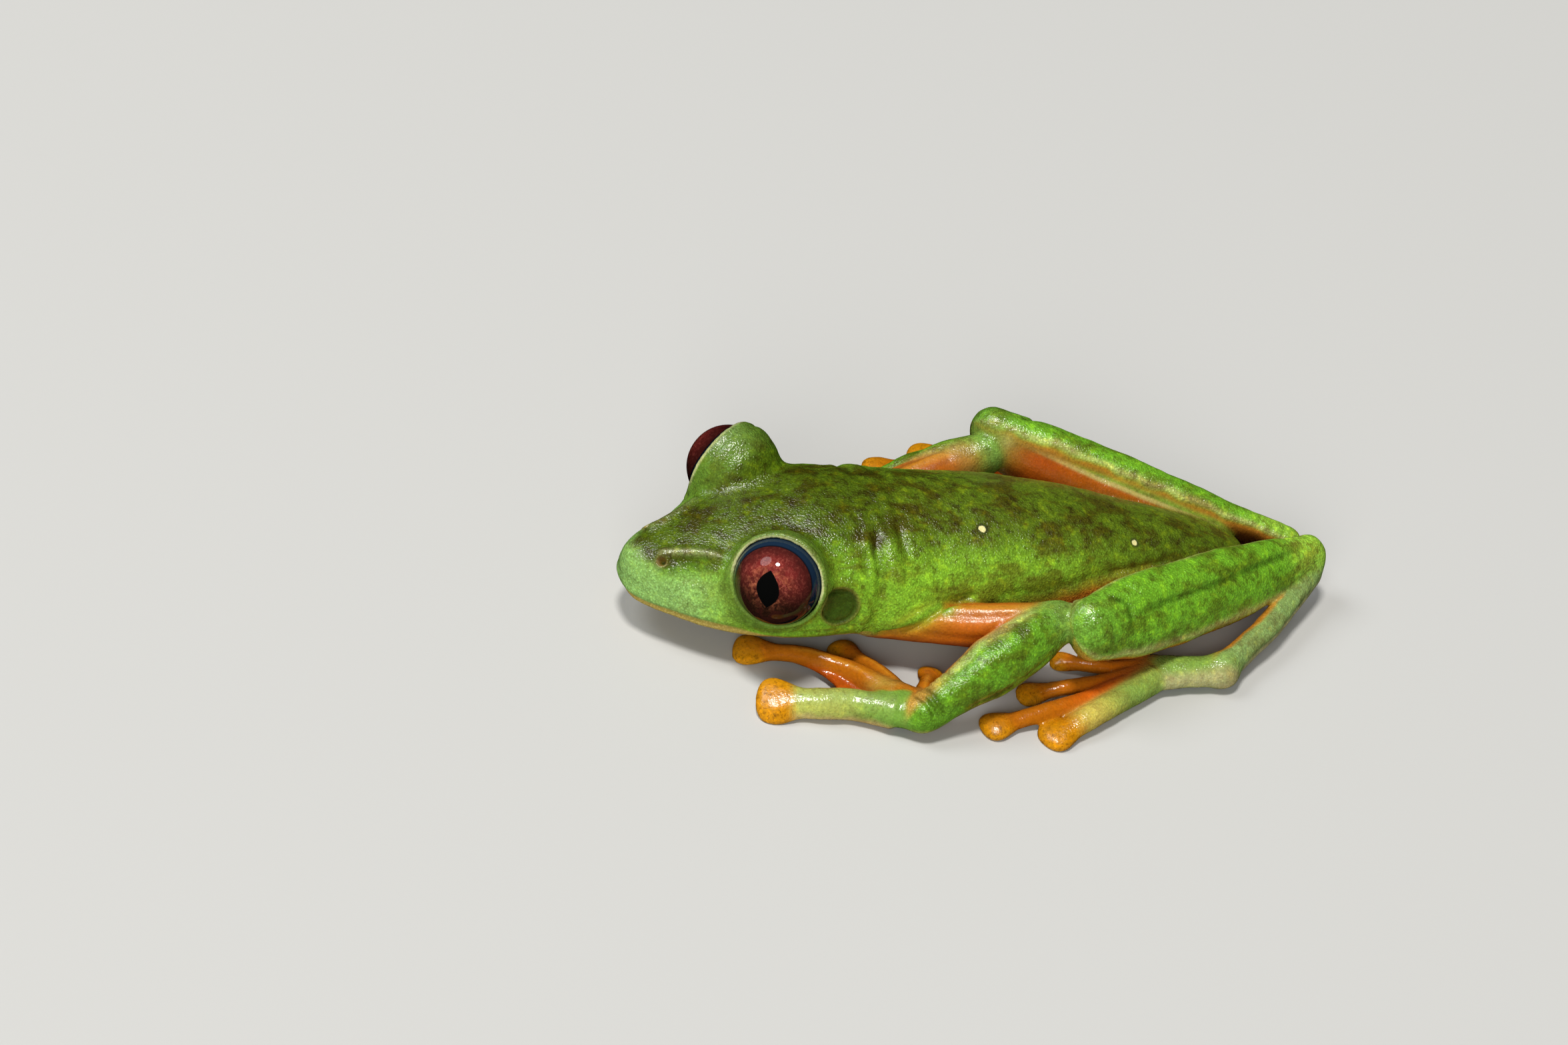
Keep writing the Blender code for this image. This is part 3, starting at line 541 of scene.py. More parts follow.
def spread(name, palm, digits, root_level, webs, place):
    """Hand or foot: palm, digits with their discs, and the webs between them."""
    paths, fingers, discs = [], [], []
    side = math.copysign(1.0, place((1, 0, 0)).x - place((0, 0, 0)).x)
    for i, (root, bends, tip, base, neck, disc, roll) in enumerate(digits):
        paths.append([place(p) for p in digit_path(root, bends, tip, disc, roll, root_level)])
        finger = digit(paths[-1], base, neck, disc, roll * side)
        fingers.append(keep(f"{name}_{i + 1}", finger))
        discs.append(keep(f"{name}_{i + 1}_disc", disc_form(finger, disc)))
    sheets = [keep(f"{name}_web_{i + 1}", web_mesh(one, two, reach, WEB_LEVEL + i * WEB_STEP))
              for i, (one, two, reach) in enumerate(zip(paths, paths[1:], webs))]
    whole = room_for([palm] + fingers + sheets + discs)
    whole.merge(palm)
    for finger, disc in zip(fingers, discs):
        whole.merge(finger, 0.9, palm.middle(), 3.2)
        whole.merge(disc, 0.7)
    for sheet in sheets:
        whole.merge(sheet, 0.45)
    return whole


def build_arm(side):
    """Field of an arm with its hand, and its shoulder."""
    tag = TAGS[side]
    shoulder, elbow, wrist = (mirrored(ARM[side][key], side) for key in ("shoulder", "elbow", "wrist"))
    upper = keep("upper_arm_" + tag, Limb(bowed(shoulder, elbow, UPPER_ARM_BOW, side), UPPER_ARM_GIRTH))
    fore = keep("forearm_" + tag, Limb(bowed(elbow, wrist, FOREARM_BOW[side], side), FOREARM_GIRTH))
    turn = Matrix.Rotation(math.radians(HAND_TURN[side] * side), 4, "Z")

    def place(p):
        return Vector((wrist.x, wrist.y, 0.0)) + turn @ mirrored(p, side)

    axes = frame_along(turn @ mirrored(PALM_AXIS, side))
    palm = keep("palm_" + tag, ellipsoid(place(PALM_CENTRE), axes, PALM_SIZE))
    hand = spread("finger_" + tag, palm, FINGERS, KNUCKLE_LEVEL, HAND_WEBS, place)
    return joined([upper, fore, hand], (1.0, 1.3), (elbow, wrist)), shoulder


def build_leg(side):
    """Field of a leg with its foot, and its hip."""
    tag = TAGS[side]
    knee, heel, hip = (mirrored(LEG[side][key], side) for key in ("knee", "heel", "hip"))
    ankle, sole = mirrored(ANKLE, side), mirrored(SOLE, side)
    thigh_path = bowed(knee + mirrored(THIGH_START, side), hip, THIGH_BOW, side)
    tarsus_path = bowed(heel + mirrored(TARSUS_START, side), ankle, TARSUS_BOW, side)
    thigh = keep("thigh_" + tag, Limb(thigh_path, THIGH_GIRTH))
    shank = keep("shank_" + tag, Limb(bowed(knee, heel, SHANK_BOW[side], side), SHANK_GIRTH,
                                      lean=-side * SHANK_LEAN))
    tarsus = keep("tarsus_" + tag, Limb(tarsus_path, TARSUS_GIRTH))
    metatarsus = keep("sole_" + tag, Limb((ankle, ankle.lerp(sole, 0.5), sole), METATARSUS_GIRTH))
    foot = spread("toe_" + tag, metatarsus, TOES, DIGIT_LEVEL, FOOT_WEBS, lambda p: mirrored(p, side))
    return joined([thigh, shank, tarsus, foot], (1.0, 1.0, 1.2), (knee, heel, ankle)), hip


def build_form():
    """Field of the whole skin, standing on the floor."""
    skin = Field((0, 0, 0), COUNT)
    skin.merge(keep("body", body_form()))
    for side in TAGS:
        add_lid(skin, side)
    for side in TAGS:
        arm, shoulder = build_arm(side)
        skin.merge(arm, 1.6, shoulder, 3.5)
        leg, hip = build_leg(side)
        skin.merge(leg, 1.5, hip, 4.0)
    skin.soften()
    for side in TAGS:
        open_eye(skin, side)
    floor_depth = -skin.axes()[2]
    skin.values = np.maximum(skin.values, floor_depth).astype(np.float32)
    return skin


def surface(field):
    """Quad mesh of the field's zero level: its outer sheet alone."""
    grid = openvdb.FloatGrid()
    grid.copyFromArray(field.values)
    points, quads = grid.convertToQuads(isovalue=0.0)
    label = np.arange(len(points))
    while True:
        least = label[quads].min(1)
        new = label.copy()
        for corner in range(4):
            np.minimum.at(new, quads[:, corner], least)
        new = new[new]
        if (new == label).all():
            break
        label = new
    names, counts = np.unique(label, return_counts=True)
    quads = quads[label[quads[:, 0]] == names[counts.argmax()]]
    used = np.unique(quads)
    renumber = np.full(len(points), -1)
    renumber[used] = np.arange(len(used))
    points, quads = points[used] * STEP + LOW, renumber[quads]
    a, b, c, d = (points[quads[:, k]] for k in range(4))
    volume = ((np.cross(a, b) * c).sum() + (np.cross(a, c) * d).sum()) / 6
    return points, quads[:, ::-1] if volume < 0 else quads


# ---------------------------------------------------------------- sculpting the skin

def value_noise(points, scale, seed):
    """Smooth noise in -1..1 whose features are about scale mm across."""
    table = np.random.default_rng(seed).uniform(-1, 1, (32, 32, 32)).astype(np.float32)
    at = points / scale + 100.0
    cell = np.floor(at).astype(int)
    share = at - cell
    return between(table, cell, share * share * (3 - 2 * share))


def ramp(values, low, high):
    """0 below low, 1 above high, smooth between; low may be above high."""
    t = np.clip((values - low) / (high - low), 0, 1)
    return t * t * (3 - 2 * t)


def bell(distance, width):
    """1 at no distance, falling off smoothly to 0.6 at the width."""
    return np.exp(-distance**2 / (2 * width**2))


def corners(quads):
    """Faces as lists; a quad whose last two corners are the same is a triangle."""
    return [f[:3] if f[2] == f[3] else f for f in quads.tolist()]


class Skin:
    """The skin's points, and brushes that shape it."""

    def __init__(self, points, quads):
        self.points, self.quads = points.astype(float), quads
        self.shift = np.zeros(len(points))
        self.refresh()

    def refresh(self):
        """Work out the normals and the search tree again."""
        p, q = self.points, self.quads
        cross = np.cross(p[q[:, 2]] - p[q[:, 0]], p[q[:, 3]] - p[q[:, 1]])
        normals = np.zeros_like(p)
        for corner in range(4):
            for axis in range(3):
                normals[:, axis] += np.bincount(q[:, corner], cross[:, axis], len(p))
        self.normals = normals / np.maximum(np.linalg.norm(normals, axis=1), 1e-12)[:, None]
        self.tree = BVHTree.FromPolygons(p.tolist(), corners(q))

    def smooth(self, rounds, strength):
        """Even out the surface without shrinking it."""
        q, p = self.quads, self.points
        a, b = q.T.ravel(), np.roll(q, -1, axis=1).T.ravel()
        degree = np.bincount(a, minlength=len(p)) + np.bincount(b, minlength=len(p))
        for _ in range(rounds):
            for pull in (strength, -strength * 1.02):
                mean = np.stack([np.bincount(a, p[b, k], len(p)) + np.bincount(b, p[a, k], len(p))
                                 for k in range(3)], 1) / degree[:, None]
                p = p + (mean - p) * pull
        self.points = p
        self.refresh()

    def closeness(self, path, width, ends, side):
        """Points near a smooth path on one side, and 1 on the path, falling off over the width.

        It also fades over the share called ends of the path's length at each of its ends.
        """
        path = [mirrored(p, side) for p in path]
        length = sum((b - a).length for a, b in zip(path, path[1:]))
        count = max(4, int(length / 0.12))
        line = np.array([self.tree.find_nearest(through(path, i / count))[0] for i in range(count + 1)])
        pad = 3 * width
        near = np.where(np.all((self.points > line.min(0) - pad) & (self.points < line.max(0) + pad), 1))[0]
        index, gap = nearest(self.points[near], line)
        at = index / count
        fade = ramp(at, 0, ends) * ramp(at, 1, 1 - ends) if ends > 0 else 1.0
        return near, bell(gap, width) * fade

    def stroke(self, path, width, height, ends=0.2, side=1):
        """Raise (or press in, if negative) the skin along a path."""
        near, weight = self.closeness(path, width, ends, side)
        self.shift[near] += height * weight

    def push(self, centre, radius, height, side=1):
        """Swell or dent the skin round a point."""
        gap = np.linalg.norm(self.points - np.array(mirrored(centre, side)), axis=1)
        self.shift += height * bell(gap, radius)


def refine(points, quads, mask):
    """Halve the faces whose corners are all masked."""
    bm = bmesh.new()
    verts = [bm.verts.new(p) for p in points]
    for face in quads:
        bm.faces.new([verts[i] for i in face])
    bm.verts.index_update()
    edges = [e for e in bm.edges if mask[e.verts[0].index] and mask[e.verts[1].index]]
    bmesh.ops.subdivide_edges(bm, edges=edges, cuts=1, use_grid_fill=True, smooth=0.0)
    bmesh.ops.triangulate(bm, faces=[f for f in bm.faces if len(f.verts) > 4])
    bm.verts.index_update()
    points = np.array([v.co for v in bm.verts])
    faces = [[v.index for v in f.verts] for f in bm.faces]
    bm.free()
    return points, np.array([f if len(f) == 4 else f + f[-1:] for f in faces])


def circle(centre, normal, radius, start=0.0, end=360.0, offset=0.0, count=40):
    """Arc round a point; angles run from straight up, by way of the tail's side."""
    normal = Vector(normal).normalized()
    up = (Vector((0, 0, 1)) - normal * normal.z).normalized()
    back = up.cross(normal)
    back = back if back.y > 0 else -back
    return [Vector(centre) + normal * offset + (up * math.cos(a) + back * math.sin(a)) * radius
            for a in (math.radians(start + (end - start) * k / count) for k in range(count + 1))]


def mouth_level(y):
    return MOUTH_FRONT[1] + (y - MOUTH_FRONT[0]) / MOUTH_LENGTH * MOUTH_RISE


def mouth_path(drop=0.0):
    """The closed mouth's line from the right corner round the snout to the left corner."""
    left = []
    for k in range(30):
        y = -27.9 + (16.4 * (k / 29)**1.3)
        z = mouth_level(y) - drop
        level, bottom = smooth(WIDE_LEVEL, y), smooth(BOTTOM, y)
        share = min(max((level - z) / (level - bottom), 0.0), 1.0)
        left.append(Vector((smooth(HALF_WIDTH, y) * (1 - share**BELLY_ROUND)**(1 / BELLY_ROUND), y, z)))
    return [mirrored(p, -1) for p in reversed(left)] + left


# path, width, height, and the share of the path over which it fades at each end
HEAD_STROKES = (
    (SNOUT_RIDGE, 0.36, 0.36, 0.2),
    # the fold over the eardrum, the groove inside it, and the fold below it
    (((9.4, -13.9, 9.1), (8.4, -12.4, 8.9), (8.2, -10.8, 8.5), (8.4, -9.7, 7.4), (8.7, -9.2, 5.8),
      (8.8, -9.3, 4.8)), 0.34, 0.3, 0.15),
    (((9.0, -13.2, 8.6), (8.6, -12.0, 8.3), (8.4, -10.9, 7.9)), 0.16, -0.16, 0.2),
    (((8.9, -10.9, 4.9), (8.9, -9.9, 4.5), (8.7, -9.2, 3.9)), 0.25, 0.2, 0.2),
)
HEAD_SWELLS = (((4.7, -22.9, 6.9), 1.2, -0.36), ((6.7, -20.9, 5.6), 1.4, 0.12),
               ((0.0, -22.0, 9.1), 1.8, -0.06), (EAR, 0.95, -0.2), (NOSTRIL, 0.22, -0.75))
TRUNK_STROKES = (
    # folds of the nape, from the middle of the back to the shoulder
    (NAPE_FOLD, 0.42, -0.34, 0.3),
    (((3.4, -6.6, 11.1), (4.8, -6.9, 10.7), (6.2, -7.0, 9.9), (7.5, -6.9, 8.7), (8.3, -6.8, 7.0)),
     0.55, 0.2, 0.3),
    (HIND_FOLD, 0.34, -0.18, 0.35),
    (((5.4, -9.5, 10.4), (6.2, -9.3, 9.8), (7.0, -9.2, 9.2), (7.6, -9.1, 8.4)), 0.34, -0.18, 0.35),
    (((4.2, -9.2, 11.0), (5.4, -8.8, 10.5), (6.6, -8.7, 9.6), (7.6, -8.5, 8.5)), 0.45, 0.1, 0.3),
    # the hollow over the arm's root and its long continuation down the flank
    (((8.3, -8.0, 3.6), (9.0, -6.2, 4.2), (9.3, -4.5, 5.1), (8.9, -3.0, 6.1), (8.2, -1.2, 6.5),
      (7.8, 1.0, 6.6)), 0.24, -0.42, 0.1),
    (((7.6, 1.0, 6.6), (7.5, 4.0, 6.3), (7.2, 7.5, 6.3), (6.5, 10.5, 6.5), (5.4, 14.0, 6.6),
      (4.4, 17.0, 6.4)), 0.4, -0.14, 0.2),
    (((5.5, 13.0, 6.4), (4.6, 16.5, 6.2), (3.4, 20.0, 5.8)), 0.22, -0.18, 0.2),
)
TRUNK_SWELLS = (((8.4, -5.4, 6.6), 1.6, 0.34), ((8.7, -6.6, 4.9), 0.8, 0.25),
                ((2.6, 10.5, 9.2), 2.4, 0.14), ((1.7, 20.0, 6.9), 1.8, 0.1))
FOLD_DEPTH = {1: 1.35, -1: 0.7}      # the trunk's strokes are deeper on the photo's near side
# limb, path as (share, angle), width, height, fading share
LIMB_STROKES = (
    ("shank", SHANK_GROOVE, 0.24, -0.24, 0.2),
    ("shank", ((0.1, 30), (0.28, 36), (0.53, 38), (0.8, 42)), 0.55, 0.1, 0.2),
    ("shank", ((0.1, -20), (0.28, -18), (0.53, -14), (0.8, -10)), 0.6, 0.1, 0.2),
    ("shank", KNEE_CREASE, 0.22, -0.22, 0.35),
    ("shank", ((0.13, 62), (0.14, 48), (0.17, 30)), 0.16, -0.12, 0.2),
    ("shank", ((0.02, -10), (0.06, -35), (0.1, -60)), 0.22, -0.1, 0.2),
    ("forearm", FOREARM_GROOVE, 0.2, -0.14, 0.2),
    ("forearm", ((0.15, 75), (0.5, 65), (0.8, 60)), 0.45, 0.1, 0.2),
    ("forearm", ((0.15, 105), (0.5, 100), (0.8, 100)), 0.2, -0.08, 0.2),
    ("upper_arm", ((0.1, 88), (0.5, 84), (0.9, 80)), 0.2, 0.1, 0.2),
    ("upper_arm", ((0.1, 62), (0.5, 58), (0.9, 60)), 0.22, -0.1, 0.2),
    ("upper_arm", ((0.2, 5), (0.5, 0), (0.9, 10)), 0.25, -0.12, 0.2),
    ("tarsus", ((0.1, 10), (0.5, 0), (0.9, 10)), 0.2, -0.1, 0.2),
    ("tarsus", ((0.1, 60), (0.5, 55), (0.9, 60)), 0.25, -0.08, 0.2),
)
# limb, share of the first wrinkle and between wrinkles, count, first and last angle, width, height
LIMB_WRINKLES = (
    ("shank", 0.9, 0.035, 3, 30, 120, 0.14, -0.1),
    ("forearm", 0.76, 0.045, 6, 70, 200, 0.09, -0.09),
    ("tarsus", 0.03, 0.04, 4, 40, 150, 0.12, -0.08),
)


def sculpt_head(skin):
    skin.stroke(mouth_path(-0.42), 0.28, 0.13, 0.06)
    skin.stroke(mouth_path(), 0.1, -0.26, 0.04)
    skin.stroke(mouth_path(0.42), 0.26, 0.07, 0.06)
    for side in TAGS:
        for path, width, height, ends in HEAD_STROKES:
            skin.stroke(path, width, height, ends, side)
        for centre, radius, height in HEAD_SWELLS:
            skin.push(centre, radius, height, side)
        # the lids' raised edge, the furrow behind it, and creases round their root
        centre, lid, edge = mirrored(EYE_CENTRE, side), mirrored(LID_AXIS[side], side), LID_EDGE[side]
        rim = math.sqrt((LID_RADIUS - 0.22)**2 - edge**2)
        skin.stroke(circle(centre, lid, rim, offset=edge), 0.13, 0.1, 0)
        skin.stroke(circle(centre, lid, 4.25, offset=edge - 0.75), 0.2, -0.12, 0)
        skin.stroke(circle(centre, lid, 4.45, 100, 250, edge - 0.6), 0.12, -0.08)
        skin.stroke(circle(centre, lid, 4.8, 95, 200, edge - 0.8), 0.14, -0.06)
        skin.stroke(circle(centre, lid, 5.0, -80, 60, -1.2), 0.4, -0.1)
        # the eardrum's rim between two furrows
        ear, outward = mirrored(EAR, side), mirrored(EAR_OUTWARD, side)
        skin.stroke(circle(ear, outward, EAR_RADIUS, 60, 330), 0.12, 0.2, 0.12)
        skin.stroke(circle(ear, outward, EAR_RADIUS - 0.25), 0.12, -0.1, 0)
        skin.stroke(circle(ear, outward, EAR_RADIUS + 0.28, 70, 320), 0.14, -0.1)
        nostril, outward = mirrored(NOSTRIL, side), mirrored(NOSTRIL_OUTWARD, side)
        skin.stroke(circle(nostril, outward, 0.42), 0.14, 0.2, 0)


def sculpt_trunk(skin):
    for side, depth in FOLD_DEPTH.items():
        for path, width, height, ends in TRUNK_STROKES:
            skin.stroke(path, width, height * depth, ends, side)
        for centre, radius, height in TRUNK_SWELLS:
            skin.push(centre, radius, height, side)


def outward_angle(name, angle):
    """Turn a limb's own angle into one from the frog's outer side (0) over its top (90), or back."""
    limb = parts[name][0]
    outer = -1 if "right" in name else 1
    if limb.sides[len(limb.sides) // 2].x * outer > 0:
        return angle
    return np.where(np.asarray(angle) >= 0, 180 - np.asarray(angle), -180 - np.asarray(angle))


def limb_line(name, path):
    """Points of a limb's surface: shares from its start to its end, 0 degrees outward and 90 up."""
    limb = parts[name][0]
    line = []
    for t, degrees in path:
        i = int(round(t * (len(limb.centres) - 1)))
        wide, high = limb.sizes[i]
        a = math.radians(float(outward_angle(name, degrees)))
        across = limb.sides[i] * (wide * math.cos(a))
        line.append(limb.centres[i] + across + limb.ups[i] * (high * math.sin(a)))
    return line


def wrist_folds(tag):
    """Two creases over the top of a bent wrist, from its outer to its inner side."""
    limb = parts["forearm_" + tag][0]
    wrist = limb.centres[-1]
    back = (limb.centres[0] - wrist).normalized()
    folds = []
    for shift in (0.2, 0.95):
        centre = wrist + back * shift
        turns = (math.radians(float(outward_angle("forearm_" + tag, a))) for a in range(10, 170, 20))
        folds.append([centre + limb.sides[-1] * (1.7 * math.cos(a)) + limb.ups[-1] * (1.8 * math.sin(a))
                      for a in turns])
    return folds


def sculpt_limbs(skin):
    for side, tag in TAGS.items():
        for limb, path, width, height, ends in LIMB_STROKES:
            skin.stroke(limb_line(f"{limb}_{tag}", path), width, height, ends)
        for limb, first, step, count, start, end, width, height in LIMB_WRINKLES:
            for k in range(count):
                ring = [(first + step * k, start + (end - start) * i / 8) for i in range(9)]
                skin.stroke(limb_line(f"{limb}_{tag}", ring), width, height, 0.25)
        for fold, depth in zip(wrist_folds(tag), (-0.32, -0.22)):
            skin.stroke(fold, 0.17, depth, 0.25)
        skin.push(Vector(ARM[side]["elbow"]) + Vector(ELBOW_POINT), 0.4, 0.35, side)


def sculpt_texture(skin):
    """Uneven flesh and fine wrinkles."""
    p = skin.points
    uneven = 0.07 * value_noise(p, 2.6, 1) + 0.04 * value_noise(p, 1.1, 2) + 0.018 * value_noise(p, 0.5, 3)
    skin.shift += ramp(p[:, 2], 0.1, 1.0) * uneven
    neck = np.exp(-((p[:, 1] + 6.5) / 3.2)**2) * ramp(p[:, 2], 3.5, 6.0)
    skin.shift += 0.10 * neck * value_noise(p * np.array((0.35, 1.6, 0.35)), 1.0, 4)


def keep_eyes_clear(skin):
    """Hold the skin just outside the eyeballs."""
    for side in TAGS:
        away = skin.points - np.array(mirrored(EYE_CENTRE, side))
        gap = np.linalg.norm(away, axis=1)
        inside = gap < EYE_RADIUS + 0.01
        skin.points[inside] += away[inside] * ((EYE_RADIUS + 0.01) / gap[inside] - 1)[:, None]


def sculpted():
    skin = Skin(*surface(build_form()))
    skin.smooth(2, 0.5)
    skin = Skin(*refine(skin.points, skin.quads, skin.points[:, 1] < -7.5))
    sculpt_head(skin)
    sculpt_trunk(skin)
    sculpt_limbs(skin)
    sculpt_texture(skin)
    skin.points = skin.points + skin.normals * skin.shift[:, None]
    keep_eyes_clear(skin)
    skin.points[:, 2] = np.maximum(skin.points[:, 2], 0.0)
    skin.refresh()
    return skin


# ---------------------------------------------------------------- colours of the skin

def rgb(red, green, blue):
    """Linear colour from the 0-255 values that a screen shows."""
    shares = (c / 255 for c in (red, green, blue))
    return np.array([((c + 0.055) / 1.055)**2.4 if c > 0.04 else c / 12.92 for c in shares])


BACK = rgb(88, 112, 22)
CHEEK = rgb(134, 188, 50)
SNOUT = rgb(138, 182, 100)
LID = rgb(96, 130, 44)
LID_MARGIN = rgb(205, 208, 150)
LIP = rgb(190, 168, 88)
THROAT = rgb(212, 198, 148)
BELLY = rgb(232, 206, 150)
FLANK_YELLOW = rgb(150, 146, 40)
FLANK = rgb(208, 140, 46)
# painted shade in the creases of the nape
EAR_SKIN = rgb(44, 58, 15)
EAR_RIM = rgb(120, 116, 56)
CREASE_SHADE = rgb(56, 60, 12)
ARM_ORANGE = rgb(196, 106, 22)
# pink of the upper arm's middle, partly a painted highlight
ARM_PINK_SHEEN = rgb(196, 118, 44)
ARM_UNDER = rgb(186, 88, 30)
ELBOW_GREEN = rgb(132, 170, 84)
LIMB_GREEN = rgb(104, 160, 38)
LIMB_PALE = rgb(186, 196, 116)
HAND_YELLOW = rgb(170, 178, 88)
DISC = rgb(190, 128, 6)
FINGER_ORANGE = rgb(176, 100, 14)
WEB_RED = rgb(182, 78, 12)
TARSUS_PALE = rgb(196, 184, 140)
GROIN_RED = rgb(168, 62, 6)

# each point's finish: strength of dark clouding, fine speckling, grain and wetness
CLOUD, SPECK, GRAIN, WET = range(4)

# (y, level) of the line between the green flank and the yellow one
FLANK_EDGE = ((-14.0, 3.4), (-9.0, 3.6), (-7.0, 4.4), (-4.0, 5.9), (-0.2, 6.7), (2.9, 6.1), (6.7, 6.1),
              (9.2, 6.4), (11.8, 6.7), (15.2, 6.6), (17.0, 6.4), (20.0, 5.3), (24.0, 3.9), (28.6, 2.9))


def towards(rows, goal, amount):
    """Mix rows of values towards a goal by an amount of 0 to 1 for each row."""
    return rows + (goal - rows) * np.asarray(amount)[:, None]


def curve(stations, values):
    """Values of a station curve at many places."""
    grid = np.linspace(stations[0][0], stations[-1][0], 200)
    return np.interp(values, grid, [smooth(stations, g) for g in grid])


class Coat:
    """Colour and finish of the points on or near one part, laid in layers.

    On a limb, t is how far along it a point lies, and angle goes from its outer side over its top.
    """

    def __init__(self, name, points, normals, colour, finish):
        self.name, self.points, self.normals = name, points, normals
        self.tag = TAGS[-1 if "right" in name else 1]
        self.colour = np.tile(colour, (len(points), 1))
        self.finish = np.tile(finish, (len(points), 1))
        limb = parts[name][0]
        if limb:
            self.t, angle = limb.local(points)
            self.angle = outward_angle(name, angle)

    def cover(self, colour, amount):
        self.colour = towards(self.colour, colour, amount)

    def fade(self, kind, amount):
        """Take away an amount of one kind of finish."""
        self.finish[:, kind] *= 1 - amount

    def noise(self, scale, seed):
        return value_noise(self.points, scale, seed)

    def pale_below(self, start, amount=1.0):
        """Lay the belly's colour where the skin faces down."""
        self.cover(BELLY, ramp(self.normals[:, 2], start, -0.9) * amount)

    def unbroken_angle(self):
        """The angle without its jump from 180 to -180 on the inner side."""
        return np.where(self.angle < -120, self.angle + 360, self.angle)


def colour_body(coat):
    x, y, z = np.abs(coat.points[:, 0]), coat.points[:, 1], coat.points[:, 2]
    wobble = 0.35 * coat.noise(1.6, 11) + 0.2 * coat.noise(0.7, 12)
    lift = np.degrees(np.arctan2(z - curve(WIDE_LEVEL, y), np.hypot(x, 2.4 * ramp(y, -24.5, -27.5))))
    side = ramp(lift + wobble * 14, 58, 22)
    head = ramp(y, -9.0, -13.0)
    front = ramp(y, -19.0, -24.0)
    tip = ramp(y, -24.0, -26.0) * ramp(coat.normals[:, 1], -0.2, -0.6)
    coat.cover(CHEEK, side * ramp(y, 22, 2) * 0.9)
    coat.cover(BACK * np.array((0.8, 1.05, 0.8)), head)
    coat.cover(CHEEK, side * head * 0.9)
    coat.cover(SNOUT, np.maximum(front * ramp(lift, 50, 24), tip * 0.9))
    coat.cover(BACK * 0.8, ramp(y, -4.0, -8.0) * ramp(lift, 40, 62))
    coat.finish[:, CLOUD] -= 0.55 * side * np.maximum(head, 0.4)
    coat.finish[:, CLOUD] -= 0.2 * front * ramp(lift, 60, 30) + 0.4 * tip
    coat.finish[:, WET] -= 0.2 * ramp(y, -5.0, 1.0)
    # flank and belly behind the mouth's corner
    above = z - curve(FLANK_EDGE, y) + 0.7 + wobble * 0.6
    behind = ramp(y, -9.5, -7.0)
    coat.cover(FLANK_YELLOW, behind * ramp(above, 0.7, 0.0) * 0.8)
    coat.cover(FLANK, behind * ramp(above, 0.15, -0.7))
    coat.cover(BELLY, behind * ramp(z, 3.6, 1.4))
    lowered = behind * ramp(above, 0.4, -0.4)
    coat.fade(CLOUD, lowered)
    coat.fade(SPECK, 0.7 * lowered)
    coat.finish[:, WET] += (0.7 - coat.finish[:, WET]) * lowered
    # lower jaw
    under = mouth_level(y) - z - 0.9 * ramp(y, -20.5, -14.0)
    jaw = (1 - behind) * ramp(under, -0.06, 0.1)
    coat.cover(LIP, jaw)
    coat.cover(THROAT, jaw * ramp(under, 0.4, 1.2))
    coat.fade(CLOUD, jaw)
    coat.fade(SPECK, 0.8 * jaw)


def colour_upper_arm(coat):
    t, angle = coat.t, coat.angle
    streak = value_noise(np.stack([angle / 14, t * 2, t * 0], 1), 1.0, 21)
    # pink-orange band over the middle, its pink partly a painted highlight
    coat.cover(ARM_PINK_SHEEN, ramp(angle, 110, 80) * ramp(angle, 20, 60) * 0.75)
    coat.cover(rgb(214, 150, 46), ramp(angle, 112, 86) * ramp(angle, 66, 84) * 0.7)
    coat.cover(ARM_UNDER, ramp(coat.normals[:, 2], -0.1, -0.8))
    coat.colour *= np.array((0.78, 0.74, 0.62)) + 0.12 * streak[:, None]
    coat.cover(ELBOW_GREEN, ramp(t, 0.86, 1.0))


def colour_forearm(coat):
    near = coat.tag == "left"
    t, angle = coat.t, coat.angle + 9 * coat.noise(1.1, 22)
    start, pale_from = (112, 85) if near else (132, 65)
    inner = np.clip(ramp(angle, start, start + 38) + ramp(angle, -60, -110), 0, 1) * ramp(t, 0.08, 0.3)
    wrist = ramp(t, 0.72, 0.98)
    coat.cover(LIMB_PALE, ramp(angle, pale_from, pale_from + 40) * ramp(t, 0.0, 0.2) * 0.9)
    coat.cover(ARM_ORANGE, inner * (1.0 if near else 0.7))
    coat.pale_below(-0.2, 0.8)
    coat.cover(rgb(196, 150, 66), wrist * ramp(coat.unbroken_angle(), 70, 110))
    coat.cover(ELBOW_GREEN, ramp(t, 0.16, 0.0) * 0.6)
    coat.fade(CLOUD, 0.9 * inner)
    coat.fade(CLOUD, 0.7 * wrist)
    coat.fade(GRAIN, 0.6 * inner)


def colour_palm(coat):
    """Orange like the inner fingers, green on the side of the outer one."""
    p = coat.points
    wrist = parts["forearm_" + coat.tag][0].centres[-1]
    outer = parts[f"finger_{coat.tag}_3"][1].sample(p) - parts[f"finger_{coat.tag}_4"][1].sample(p)
    beyond = (np.abs(p[:, 0]) - abs(wrist.x)) + 0.3 * (p[:, 1] - wrist.y)
    coat.cover(rgb(196, 158, 78), ramp((p - np.array(wrist)) @ np.array((0.3, 0.9, 0.3)), -1.0, 0.4))
    coat.cover(rgb(112, 154, 60), np.maximum(ramp(outer, 0.0, 0.5), ramp(beyond, -1.2, -0.4)))


def colour_outer_finger(coat):
    t, angle = coat.t, coat.angle
    coat.cover(rgb(104, 150, 58), ramp(t, 0.6, 0.1) * 0.8)
    coat.cover(rgb(150, 178, 104), np.exp(-((angle - 95) / 28)**2) * 0.5)
    coat.cover(rgb(212, 188, 124), ramp(angle + 10 * coat.noise(0.9, 32), 32, -8) * 0.85)
    coat.cover(DISC, ramp(t, 0.84, 0.97))
    coat.pale_below(-0.3, 0.5)


def colour_finger(coat):
    coat.cover(HAND_YELLOW, ramp(coat.t, 0.25, 0.0) * 0.5)
    coat.pale_below(-0.3, 0.5)


